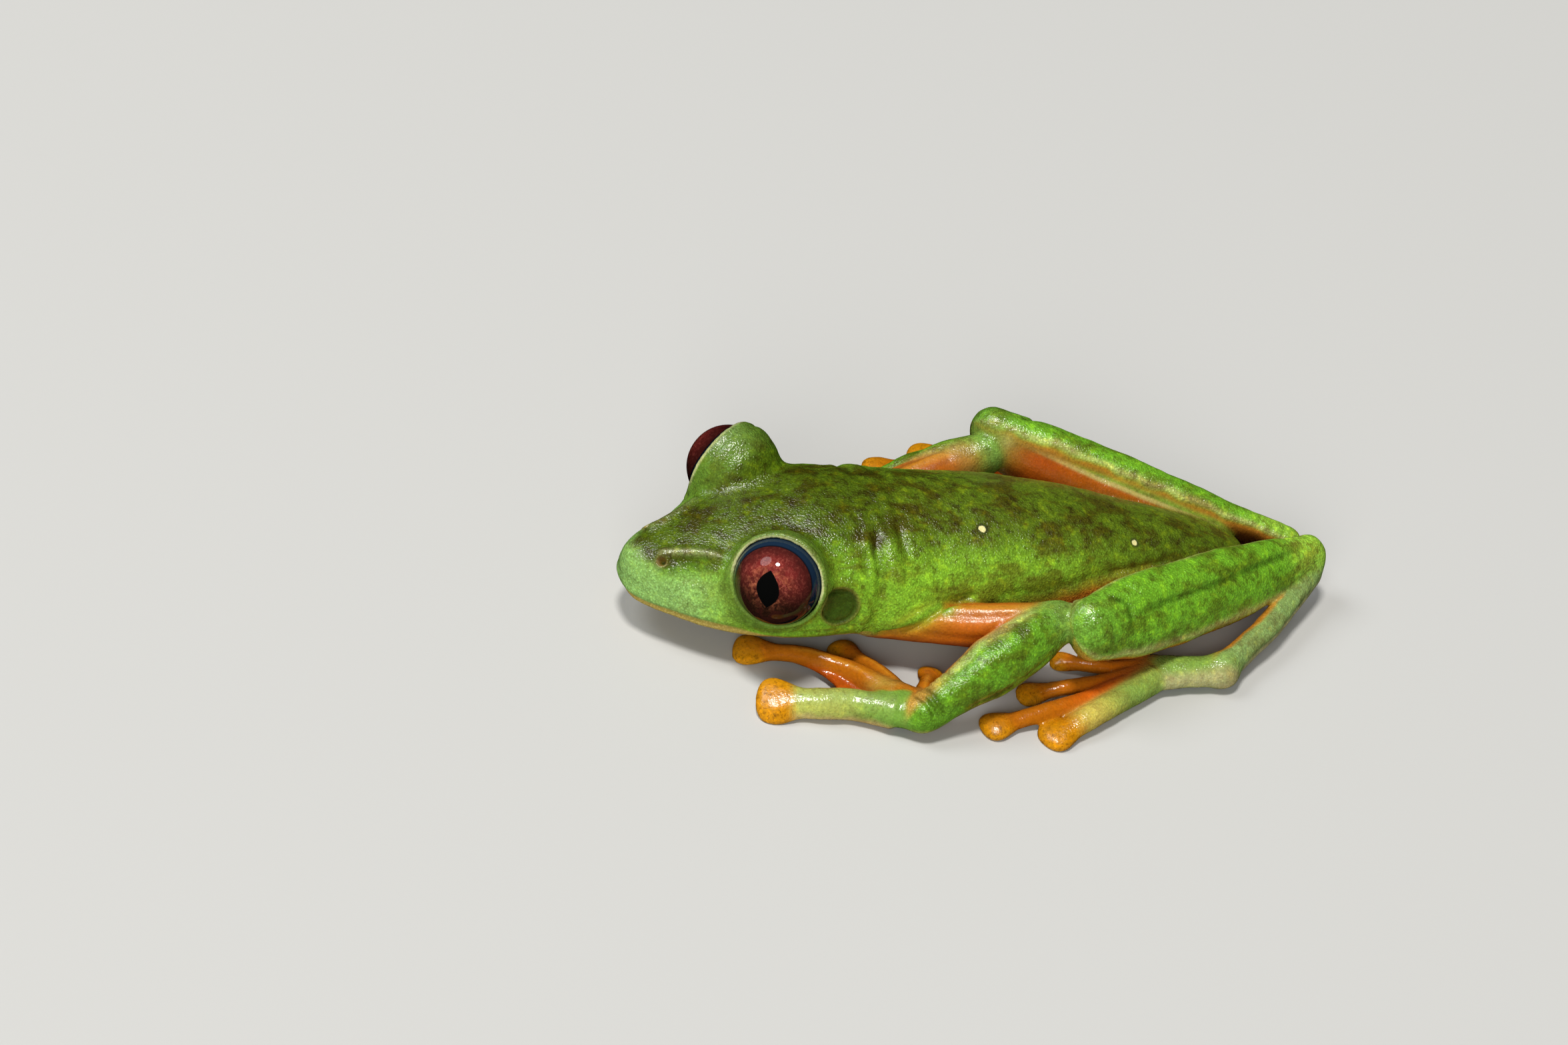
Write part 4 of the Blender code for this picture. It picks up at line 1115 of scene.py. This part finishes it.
def colour_disc(coat):
    """Deeper orange towards the neck of its digit."""
    neck = parts[coat.name.removesuffix("_disc")][0].centres[-5]
    away = np.linalg.norm(coat.points - np.array(neck), axis=1)
    coat.cover(rgb(204, 92, 6), ramp(away, 1.3, 0.6) * 0.6)
    coat.pale_below(-0.3, 0.5)


def colour_web(coat):
    streak = value_noise(coat.points * np.array((2.2, 0.8, 1.0)), 1.0, 31)
    coat.colour *= 1 + 0.3 * streak[:, None]


def colour_thigh(coat):
    """Red groin, and a green stripe with a pale border along the top."""
    off_top = np.abs(coat.angle - 80)
    stripe = ramp(off_top, 36, 31)
    coat.cover(GROIN_RED, ramp(coat.t, 0.45, 0.0) * 0.85)
    coat.cover(rgb(176, 172, 100), ramp(off_top, 45, 39) * ramp(coat.t, 0.0, 0.2) * 0.8)
    coat.cover(rgb(112, 146, 48), stripe * ramp(coat.t, 0.05, 0.3))
    coat.pale_below(-0.2)
    coat.finish[:, CLOUD] = 0.6 * stripe


def colour_shank(coat):
    """Green outside, orange turning to brown painted shade where it folds against the thigh, with a pale
    line between.
    """
    angle = coat.unbroken_angle() + 5 * coat.noise(1.3, 24)
    inner = np.clip(ramp(angle, 96, 106) + ramp(angle, -74, -86), 0, 1)
    pale = np.exp(-((angle - 94) / 6)**2) + np.exp(-((angle + 70) / 8)**2)
    # the face that folds against the thigh: orange darkened with painted shade
    folded_shade = towards(np.tile(FLANK * 0.8, (len(angle), 1)), rgb(92, 50, 12), ramp(angle, 98, 128))
    coat.cover(rgb(152, 202, 68), ramp(coat.t, 0.8, 0.95))
    coat.cover(LIMB_PALE, np.clip(pale, 0, 1) * 0.85)
    coat.cover(folded_shade, inner)
    coat.fade(CLOUD, inner)
    coat.fade(GRAIN, 0.6 * inner)
    coat.finish[:, WET] += 0.3 * inner


def colour_tarsus(coat):
    angle = coat.angle + 8 * coat.noise(0.9, 25)
    outer = ramp(angle, 20, -10) * ramp(coat.angle, -130, -100)
    inner = np.clip(ramp(angle, 100, 122) + ramp(angle, -110, -130), 0, 1)
    coat.cover(TARSUS_PALE, outer * 0.75)
    coat.cover(FLANK, inner)
    coat.fade(CLOUD, inner)
    coat.fade(CLOUD, 0.7 * outer)


def colour_outer_toe(coat):
    coat.cover(rgb(196, 180, 84), ramp(coat.t, 0.3, 0.75))
    coat.cover(DISC, ramp(coat.t, 0.74, 0.92))
    coat.pale_below(-0.3, 0.5)


def colour_toe(coat):
    """The fourth toe, next to the outer one, is the reddest."""
    red, strength = (rgb(212, 84, 12), 0.8) if coat.name.endswith("4") else (WEB_RED, 0.3)
    coat.cover(red, ramp(coat.t, 0.75, 0.3) * strength)
    coat.pale_below(-0.3, 0.5)


def colour_sole(coat):
    p = coat.points
    inner = parts[f"toe_{coat.tag}_5"][1].sample(p) - parts[f"toe_{coat.tag}_4"][1].sample(p)
    coat.cover(TARSUS_PALE, ramp(np.abs(p[:, 0]), 13.4, 14.4) * 0.7)
    coat.cover(WEB_RED, ramp(inner, 0.05, 0.6) * 0.85)


# kind of part: the layers over its first colour, that colour, and its finish
COATS = {
    "body": (colour_body, BACK, (1.0, 0.6, 1.0, 0.5)),
    "upper": (colour_upper_arm, ARM_ORANGE, (0.0, 0.35, 0.3, 0.3)),
    "forearm": (colour_forearm, LIMB_GREEN, (0.85, 0.5, 1.0, 0.45)),
    "palm": (colour_palm, FINGER_ORANGE, (0.1, 0.35, 0.4, 0.9)),
    "finger_4": (colour_outer_finger, HAND_YELLOW, (0.3, 0.5, 0.4, 0.6)),
    "finger": (colour_finger, FINGER_ORANGE, (0.0, 0.3, 0.3, 0.9)),
    "disc": (colour_disc, DISC, (0.0, 1.0, 0.12, 0.3)),
    "web": (colour_web, WEB_RED, (0.0, 0.3, 0.3, 1.0)),
    # the thigh's orange is darkened with painted shade
    "thigh": (colour_thigh, rgb(162, 84, 14), (0.0, 0.3, 0.3, 0.6)),
    "shank": (colour_shank, LIMB_GREEN * 1.2, (0.75, 0.5, 1.0, 0.45)),
    "tarsus": (colour_tarsus, rgb(138, 168, 98), (0.5, 0.4, 0.8, 0.5)),
    "toe_5": (colour_outer_toe, rgb(140, 172, 78), (0.35, 0.35, 0.6, 0.6)),
    "toe": (colour_toe, FINGER_ORANGE, (0.0, 0.3, 0.3, 0.9)),
    "sole": (colour_sole, rgb(132, 168, 74), (0.4, 0.35, 0.6, 0.6)),
}


def coat_of(name, points, normals):
    """The finished coat of one part."""
    words = name.split("_")
    special = [kind for kind in ("disc", "web") if kind in words]
    kind = special[0] if special else f"{words[0]}_{words[-1]}"
    layers, colour, finish = COATS[kind if kind in COATS else words[0]]
    coat = Coat(name, points, normals, colour, finish)
    layers(coat)
    return coat


MIX_WIDTH, MIX_REACH = 0.16, 0.9     # mm of distance over which, and up to which, parts share a colour


class Paint:
    """Colour and finish of each point of the skin, and brushes that lay marks on it."""

    def __init__(self, skin):
        """Give each point the colours of the parts it lies on, mixed where they join."""
        self.skin = skin
        distances = np.stack([field.sample(skin.points) for _, field in parts.values()])
        distances[distances >= FAR - 0.02] = 2 * FAR
        body = list(parts).index("body")
        distances[body] = np.minimum(distances[body], FAR)
        least = distances.min(0)
        total = np.zeros((len(skin.points), 1))
        colour, finish = np.zeros((len(skin.points), 3)), np.zeros((len(skin.points), 4))
        for name, distance in zip(parts, distances):
            near = np.where(distance - least < MIX_REACH)[0]
            weight = np.exp(-(distance[near] - least[near]) / MIX_WIDTH)[:, None]
            coat = coat_of(name, skin.points[near], skin.normals[near])
            colour[near] += coat.colour * weight
            finish[near] += coat.finish * weight
            total[near] += weight
        self.colour, self.finish = colour / total, finish / total

    def lay(self, amount, colour, finish=None, near=slice(None)):
        """Cover by an amount of 0 to 1."""
        self.colour[near] = towards(self.colour[near], colour, amount)
        if finish is not None:
            self.finish[near] = towards(self.finish[near], np.array(finish), amount)

    def stroke(self, path, width, colour, amount, ends=0.2, finish=None, side=1):
        near, weight = self.skin.closeness(path, width, ends, side)
        self.lay(weight * amount, colour, finish, near)

    def dab(self, centre, radius, colour, amount, finish=None):
        gap = np.linalg.norm(self.skin.points - np.array(centre), axis=1)
        self.lay(bell(gap, radius) * amount, colour, finish)


def paint_eye_rim(paint, side):
    """Green collar round the eye, pale margins of the lids, and a dark wet line of painted shade where the
    lids meet the ball.
    """
    lid = np.array(mirrored(LID_AXIS[side], side).normalized())
    away = paint.skin.points - np.array(mirrored(EYE_CENTRE, side))
    gap = np.linalg.norm(away, axis=1) - EYE_RADIUS
    outward = away @ lid
    paint.lay(ramp(gap, 1.7, 0.7) * ramp(outward, -2.6, -1.0) * 0.8, LID, (0.35, 0.5, 0.8, 0.6))
    beyond = outward - LID_EDGE[side]
    high = ramp(away[:, 2], -1.2, 0.6)
    margin = ramp(gap, 0.36, 0.24) * ramp(beyond, -0.8, -0.35)
    outer_edge = ramp(gap, 0.85, 0.6) * ramp(beyond, -0.32, -0.12) * (0.1 if side > 0 else 0.7)
    paint.lay(np.maximum(margin, outer_edge) * high, LID_MARGIN, (0.0, 0.3, 0.2, 0.8))
    paint.lay(margin * (1 - high) * 0.6, rgb(128, 158, 74), (0.0, 0.3, 0.2, 0.8))
    top = mirrored(EYE_CENTRE, side) + Vector((side * 0.6, -1.6, 4.0))
    paint.dab(top, 1.5, rgb(134, 164, 104), 0.5, (0.1, 0.7, 1.0, 1.0))
    # painted shade where the lids meet the ball
    paint.lay(ramp(gap, 0.1, 0.02) * 0.7, rgb(40, 46, 24), (0, 0, 0, 1))


def paint_ear(paint, side):
    away = paint.skin.points - np.array(mirrored(EAR, side))
    outward = np.array(mirrored(EAR_OUTWARD, side).normalized())
    flat = np.linalg.norm(away - np.outer(away @ outward, outward), axis=1)
    front = ramp(away @ outward, -1.4, -0.7)
    inside = ramp(flat, EAR_RADIUS + 0.05, EAR_RADIUS - 0.15)
    paint.lay(inside * front * 0.9, EAR_SKIN, (0.3, 0.4, 0.5, 0.5))
    paint.lay(np.exp(-((flat - EAR_RADIUS) / 0.13)**2) * front * 0.7, EAR_RIM)


def paint_nostril(paint, side):
    nostril = mirrored(NOSTRIL, side)
    # painted shadow round the nostril
    paint.dab(nostril, 0.6, rgb(70, 96, 28), 0.35)
    rim = circle(nostril, mirrored(NOSTRIL_OUTWARD, side), 0.4, 60, 300)
    paint.stroke(rim, 0.13, rgb(186, 172, 124), 0.9, finish=(0, 0.2, 0.2, 0.8))
    paint.dab(nostril, 0.3, rgb(146, 112, 60), 0.8, (0, 0.2, 0.2, 0.6))
    # dark reddish centre: painted shade in the nostril's opening
    paint.dab(nostril, 0.2, rgb(88, 32, 14), 1.0)


# path, width and amount of the painted shade in the nape's creases, a little shorter than the modelled
# folds
FOLD_SHADE_LINES = (
    (((3.0, -7.3, 11.3), *NAPE_FOLD[1:-1]), 0.3, 0.4),
    (((3.0, -5.7, 11.3), (3.9, -5.9, 11.0), *HIND_FOLD[2:]), 0.25, 0.3),
    (((5.0, -9.6, 10.6), (6.0, -9.3, 9.9), (7.0, -9.2, 9.2), (7.7, -9.1, 8.3)), 0.25, 0.3),
)


def paint_head(paint):
    paint.stroke(mouth_path(), 0.09, rgb(92, 76, 36), 0.8, 0.03)
    for side in TAGS:
        paint_eye_rim(paint, side)
        paint_ear(paint, side)
        # painted highlight along the glossy ridge from nostril to eye, stronger on the near side, and
        # painted shade in the hollow below it
        ridge = ((1.5, -26.1, 7.5), *SNOUT_RIDGE[1:-1], (4.4, -20.7, 9.1))
        paint.stroke(ridge, 0.24, rgb(176, 190, 138), 0.5 if side > 0 else 0.2, 0.2,
                     (0.1, 1.0, 1.0, 1.0), side)
        paint.stroke([(2.9, -25.2, 6.9), (3.3, -23.9, 7.4), (3.9, -22.4, 7.8), (4.5, -21.0, 8.0)], 0.3,
                     rgb(58, 92, 28), 0.45, side=side)
        paint_nostril(paint, side)
        # painted shade in the nape's creases
        for fold, width, amount in FOLD_SHADE_LINES:
            paint.stroke(fold, width, CREASE_SHADE, amount, side=side)
        # shoulder skin that hangs over the root of the arm
        paint.stroke([(8.6, -8.6, 3.9), (8.9, -7.4, 4.4), (9.3, -6.0, 4.9), (9.4, -4.6, 5.7),
                      (9.0, -3.2, 6.4), (8.3, -1.6, 6.9)], 0.45, CHEEK * 0.8, 1.0, 0.1,
                     (0.3, 0.6, 1.0, 0.4), side)
        paint.dab(mirrored((8.2, -5.2, 7.0), side), 1.6, CHEEK * 1.1, 0.6, (0.25, 0.8, 1.0, 0.5))


def paint_limb_marks(paint):
    """Pale knee and elbow, painted shade in the creases and grooves of the limbs, and a light line along
    the inner fingers.
    """
    for side, tag in TAGS.items():
        knee, elbow = LEG[side]["knee"], ARM[side]["elbow"]
        for joint, offset, radius, colour, amount, finish in (
                (knee, (0.6, -0.6, 0.6), 1.6, rgb(104, 152, 58), 0.6, (0.8, 0.8, 1.0, 1.0)),
                (elbow, (0.6, 0.7, 0.9), 1.7, rgb(116, 160, 66), 0.9, (0.4, 0.5, 0.9, 0.8)),
                (elbow, ELBOW_POINT, 0.45, rgb(200, 202, 140), 0.9, (0, 0.2, 0.4, 0.8))):
            paint.dab(mirrored(Vector(joint) + Vector(offset), side), radius, colour, amount, finish)
        # painted shade in the grooves and the knee's crease; a light line along the inner fingers
        marks = [("shank_" + tag, SHANK_GROOVE, 0.2, rgb(58, 92, 22), 0.6),
                 ("shank_" + tag, KNEE_CREASE, 0.24, rgb(46, 76, 18), 0.55),
                 ("forearm_" + tag, FOREARM_GROOVE, 0.18, rgb(54, 84, 20), 0.45)]
        marks += [(f"finger_{tag}_{number}", FINGER_LINE, 0.12, rgb(212, 148, 40), 0.5)
                  for number in (1, 2, 3)]
        for name, path, width, colour, amount in marks:
            paint.stroke(limb_line(name, path), width, colour, amount)
        # painted shade in the wrist's creases
        for fold in wrist_folds(tag):
            paint.stroke(fold, 0.2, rgb(52, 62, 14), 0.7, 0.25)


def colour_skin(skin, mesh):
    """Paint the skin and hand its colours and finish to the mesh as two attributes."""
    paint = Paint(skin)
    paint_head(paint)
    paint_limb_marks(paint)
    opaque = np.hstack([paint.colour, np.ones((len(skin.points), 1))])
    for name, values in (("tint", opaque), ("finish", paint.finish)):
        attribute = mesh.color_attributes.new(name, "FLOAT_COLOR", "POINT")
        attribute.data.foreach_set("color", np.clip(values, 0, 1).astype(np.float32).ravel())


# ---------------------------------------------------------------- pieces and materials

def mesh_from(name, points, faces, material):
    mesh = bpy.data.meshes.new(name)
    mesh.from_pydata([tuple(p) for p in points], [], [tuple(f) for f in faces])
    mesh.validate()
    mesh.update()
    mesh.materials.append(material)
    return mesh


def add_object(name, data, place=(0, 0, 0)):
    """Object of the scene at a place in the frog's own frame."""
    thing = bpy.data.objects.new(name, data)
    thing.location = to_frame(place)
    bpy.context.collection.objects.link(thing)
    return thing


class Nodes:
    """Short way to write a material's nodes; places are in mm from the object's own origin."""

    def __init__(self, name):
        self.material = bpy.data.materials.new(name)
        self.material.use_nodes = True
        self.tree = self.material.node_tree
        self.shader = self.tree.nodes["Principled BSDF"]
        texture = self.add("ShaderNodeTexCoord")
        self.place = self.vector("MULTIPLY", texture.outputs["Object"], (1000, 1000, 1000))

    def add(self, kind, **settings):
        node = self.tree.nodes.new(kind)
        for key, value in settings.items():
            setattr(node, key, value)
        return node

    def put(self, node, values):
        """Link or set inputs of a node; each is given by its name or number."""
        for key, value in values.items():
            if isinstance(value, bpy.types.NodeSocket):
                self.tree.links.new(value, node.inputs[key])
            else:
                node.inputs[key].default_value = value
        return node

    def vector(self, operation, a, b):
        node = self.put(self.add("ShaderNodeVectorMath", operation=operation), {0: a, 1: b})
        return node.outputs["Value"] if operation in ("DISTANCE", "DOT_PRODUCT") else node.outputs[0]

    def math(self, operation, a, b=0.0):
        return self.put(self.add("ShaderNodeMath", operation=operation), {0: a, 1: b}).outputs[0]

    def plus(self, a, b):
        return self.math("ADD", a, b)

    def times(self, a, b):
        return self.math("MULTIPLY", a, b)

    def noise(self, scale, detail, rough, place=None, distortion=0.0):
        values = {"Vector": place or self.place, "Scale": scale, "Detail": detail, "Roughness": rough,
                  "Distortion": distortion}
        return self.put(self.add("ShaderNodeTexNoise"), values).outputs["Fac"]

    def ramp(self, value, low, high, start=0.0, end=1.0):
        values = {"Value": value, "From Min": low, "From Max": high, "To Min": start, "To Max": end}
        node = self.add("ShaderNodeMapRange", interpolation_type="SMOOTHSTEP")
        return self.put(node, values).outputs["Result"]

    def mix(self, amount, a, b, how="MIX"):
        """Colour a with b laid over it, or multiplied into it, by an amount of 0 to 1."""
        a, b = (value if isinstance(value, bpy.types.NodeSocket) else (*value, 1) for value in (a, b))
        node = self.add("ShaderNodeMix", data_type="RGBA", blend_type=how)
        return self.put(node, {0: amount, 6: a, 7: b}).outputs[2]

    def bump(self, height, distance, **before):
        values = {"Distance": distance, "Height": height, **before}
        return self.put(self.add("ShaderNodeBump"), values).outputs["Normal"]


def skin_material():
    """Moist, finely grained skin: painted colours broken up by clouds, blotches and specks."""
    m = Nodes("frog_skin")
    tint = m.add("ShaderNodeAttribute", attribute_name="tint")
    finish = m.add("ShaderNodeAttribute", attribute_name="finish")
    split = m.put(m.add("ShaderNodeSeparateColor"), {0: finish.outputs["Color"]})
    cloud, speck, grain, wet = *split.outputs, finish.outputs["Alpha"]

    stretched = m.vector("MULTIPLY", m.place, (1.15, 0.7, 1.15))
    broad = m.noise(0.42, 4.0, 0.62, stretched, 0.3)
    patches = m.noise(1.15, 3.0, 0.6)
    small = m.noise(2.6, 2.0, 0.6)
    fine = m.noise(5.5, 2.0, 0.6)
    cells = m.add("ShaderNodeTexVoronoi", feature="SMOOTH_F1")
    pores = m.put(cells, {"Vector": m.place, "Scale": 5.2, "Smoothness": 0.4}).outputs["Distance"]

    colour = tint.outputs["Color"]
    # texture, where it starts and ends to tell, which finish it goes by, and what it multiplies by
    for texture, low, high, strength, factor in (
            (broad, 0.44, 0.62, cloud, (0.66, 0.4, 0.42)), (patches, 0.53, 0.66, cloud, (0.62, 0.5, 0.48)),
            (patches, 0.46, 0.32, cloud, (1.7, 1.55, 1.2)), (small, 0.54, 0.68, speck, (0.62, 0.6, 0.5)),
            (small, 0.46, 0.34, speck, (1.3, 1.25, 1.1)), (fine, 0.55, 0.68, speck, (0.5, 0.45, 0.4)),
            (pores, 0.25, 0.6, grain, (0.76, 0.74, 0.65)), (pores, 0.22, 0.02, grain, (1.2, 1.18, 1.1))):
        colour = m.mix(m.times(m.ramp(texture, low, high), strength), colour, factor, "MULTIPLY")
    uneven = m.plus(patches, -0.5)
    for spot, wide in (((3.6, 1.8, 10.3), 0.36), ((3.1, 16.3, 7.6), 0.27)):      # pale spots on the back
        away = m.plus(m.vector("DISTANCE", m.place, spot), m.times(uneven, 0.35))
        colour = m.mix(m.times(m.ramp(away, wide + 0.35, wide), 0.8), colour, (0.03, 0.04, 0.01))
        colour = m.mix(m.ramp(away, wide + 0.03, wide - 0.06), colour, (0.72, 0.66, 0.30))

    relief = m.times(m.math("SUBTRACT", 1.0, pores), grain)
    normal = m.bump(m.times(relief, m.ramp(patches, 0.35, 0.6, 0.35, 1.0)), 0.00006)
    normal = m.bump(m.times(fine, m.plus(m.times(grain, 0.8), 0.2)), 0.00004, Normal=normal)
    m.put(m.shader, {
        "Base Color": colour, "Normal": normal, "Coat Normal": normal,
        "Roughness": m.plus(m.ramp(wet, 0.0, 1.0, 0.42, 0.2), m.times(uneven, 0.3)),
        "Coat Weight": m.ramp(wet, 0.2, 1.0, 0.22, 0.7), "Coat Roughness": 0.14,
        "Specular IOR Level": 0.35, "Subsurface Weight": 0.12,
        "Subsurface Radius": (1.0, 0.45, 0.15), "Subsurface Scale": 0.0007})
    return m.material


def eye_material(tag, side):
    """Wet ball: grainy dark red iris, copper round the pupil, and a navy ring round the iris."""
    m = Nodes("eye_" + tag)
    unit = m.vector("MULTIPLY", m.place, (1 / EYE_RADIUS,) * 3)
    x, y, z = (m.vector("DOT_PRODUCT", unit, axis) for axis in frame_along(mirrored(EYE_AXIS[side], side)))
    radius = m.math("SQRT", m.plus(m.times(x, x), m.times(y, y)))
    wave = m.noise(1.2, 2.0, 0.5)
    grains = m.noise(4.2, 4.0, 0.75, distortion=0.3)
    fibres = m.noise(1.5, 3.0, 0.65, distortion=0.8)
    # iris, darker towards its rim, and darkened in its lower half by painted shade
    colour = m.mix(m.ramp(y, -0.4, 0.6), (0.012, 0.005, 0.003), (0.15, 0.018, 0.016))
    bright = m.mix(m.ramp(y, -0.4, 0.4), (0.04, 0.014, 0.007), (0.34, 0.075, 0.055))
    colour = m.mix(m.times(m.ramp(grains, 0.46, 0.66), 0.7), colour, bright)
    near_pupil = m.times(m.ramp(radius, 0.68, 0.25), m.ramp(y, -0.5, 0.1, 0.3, 1.0))
    copper = m.times(m.times(m.ramp(fibres, 0.42, 0.62), near_pupil), m.ramp(grains, 0.35, 0.6, 0.3, 1.0))
    colour = m.mix(m.times(copper, 0.75), colour, (0.42, 0.13, 0.06))
    colour = m.mix(m.times(m.ramp(wave, 0.5, 0.62), 0.4), colour, (0.05, 0.010, 0.008))
    colour = m.mix(m.times(m.ramp(radius, 0.55, 0.88), 0.8), colour, (0.022, 0.006, 0.005))
    # the navy ring, darkened in its lower half by painted shade
    ring = m.mix(m.ramp(y, -0.5, 0.4), (0.003, 0.004, 0.006), (0.008, 0.020, 0.042))
    ring = m.mix(m.ramp(radius, 0.90, 0.865), ring, (0.002, 0.002, 0.003))
    colour = m.mix(m.ramp(radius, 0.86, 0.875), colour, ring)
    # upright pupil, pointed at both ends
    wide = m.math("DIVIDE", m.math("ABSOLUTE", m.plus(x, m.times(y, 0.17 * side))), 0.265)
    tall = m.math("POWER", m.math("DIVIDE", m.math("ABSOLUTE", y), 0.42), 2.0)
    pupil = m.plus(m.plus(wide, tall), m.times(m.plus(wave, -0.5), 0.1))
    colour = m.mix(m.ramp(pupil, 1.04, 0.98), colour, (0.002, 0.002, 0.002))
    far_shade = (1, 1, 1) if side > 0 else (0.55, 0.5, 0.5)     # the far eye is darker in the photo
    colour = m.mix(1.0, colour, far_shade, "MULTIPLY")
    colour = m.mix(m.math("GREATER_THAN", z, 0.0), (0.01, 0.01, 0.01), colour)
    m.put(m.shader, {"Base Color": colour, "Roughness": 0.35, "Coat Weight": 1.0, "Coat Roughness": 0.015,
                     "Coat IOR": 1.28, "Specular IOR Level": 0.0})
    return m.material


def build_skin():
    skin = sculpted()
    mesh = mesh_from("skin", skin.points * MM, corners(skin.quads), skin_material())
    mesh.polygons.foreach_set("use_smooth", [True] * len(mesh.polygons))
    colour_skin(skin, mesh)
    thing = add_object("skin", mesh)
    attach(thing, "root")
    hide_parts(*FLESH)


def build_eye(side):
    """Eyeball whose cornea stands out along the way it looks; its turn is in the mesh itself."""
    tag = TAGS[side]
    radius = EYE_RADIUS * MM
    mesh = bpy.data.meshes.new("eyeball_" + tag)
    bm = bmesh.new()
    bmesh.ops.create_uvsphere(bm, u_segments=96, v_segments=64, radius=radius)
    for vert in bm.verts:
        rise = min(max((vert.co.z / radius - 0.5) / 0.5, 0.0), 1.0)
        vert.co *= 1 + CORNEA_RISE / EYE_RADIUS * rise * rise * (3 - 2 * rise)
    axes = frame_along(mirrored(EYE_AXIS[side], side))
    bmesh.ops.transform(bm, verts=bm.verts, matrix=Matrix(axes).transposed().to_4x4())
    bm.to_mesh(mesh)
    bm.free()
    mesh.polygons.foreach_set("use_smooth", [True] * len(mesh.polygons))
    mesh.materials.append(eye_material(tag, side))
    thing = add_object("eyeball_" + tag, mesh, mirrored(EYE_CENTRE, side))
    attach(thing, "root")
    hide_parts("eye_" + tag)


# ---------------------------------------------------------------- floor, light and camera

def build_floor():
    pale = bpy.data.materials.new("pale_floor")
    pale.use_nodes = True
    shader = pale.node_tree.nodes["Principled BSDF"]
    shader.inputs["Base Color"].default_value = (0.5, 0.5, 0.49, 1)
    shader.inputs["Roughness"].default_value = 0.6
    corner_points = [(-12, -12, 0), (12, -12, 0), (12, 12, 0), (-12, 12, 0)]
    mesh = mesh_from("floor", corner_points, [(0, 1, 2, 3)], pale)
    floor = bpy.data.objects.new("floor", mesh)
    floor.visible_glossy = False
    bpy.context.collection.objects.link(floor)


def soft_light(name, direction, size, power, colour, glossy=True):
    """Round soft light 2.5 m from the frog; one that isn't glossy leaves no highlight."""
    light = bpy.data.lights.new(name, "AREA")
    light.shape, light.size, light.energy, light.color = "DISK", size, power, colour
    thing = add_object(name, light)
    away = Vector(direction).normalized()
    thing.matrix_world = (Matrix.Translation(to_frame((0, 0, 6)) + away * 2.5)
                          @ away.to_track_quat("Z", "Y").to_matrix().to_4x4())
    thing.visible_glossy = glossy


def build_light():
    soft_light("key", (0.070, -0.194, 0.978), 0.5, 52, (1.0, 0.97, 0.92))
    soft_light("second", (-0.304, -0.544, 0.780), 1.2, 24, (0.95, 0.98, 1.0))
    soft_light("side", (0.80, -0.45, 0.40), 1.5, 40, (1.0, 1.0, 0.97), glossy=False)
    world = bpy.data.worlds.new("studio")
    world.use_nodes = True
    background = world.node_tree.nodes["Background"]
    background.inputs["Color"].default_value = (0.75, 0.77, 0.8, 1)
    background.inputs["Strength"].default_value = 0.16
    bpy.context.scene.world = world
    world.cycles_visibility.glossy = False
    bpy.context.scene.view_settings.view_transform = "Standard"


def build_camera():
    """Camera at the photo's angle: its axes and its place were fitted to the frog."""
    camera = bpy.data.cameras.new("camera")
    camera.lens, camera.sensor_width, camera.clip_start = 105, 36, 0.01
    thing = add_object("camera", camera)
    right, up, back = (0.2719, 0.9474, 0.1685), (-0.6252, 0.0408, 0.7794), (0.7315, -0.3173, 0.6035)
    turn = Matrix((right, up, back)).transposed().to_4x4()
    thing.matrix_world = Matrix.Translation(to_frame((278.0, -135.0, 238.3))) @ turn
    bpy.context.scene.camera = thing


build_skin()
for eye_side in TAGS:
    build_eye(eye_side)
build_floor()
build_light()
build_camera()
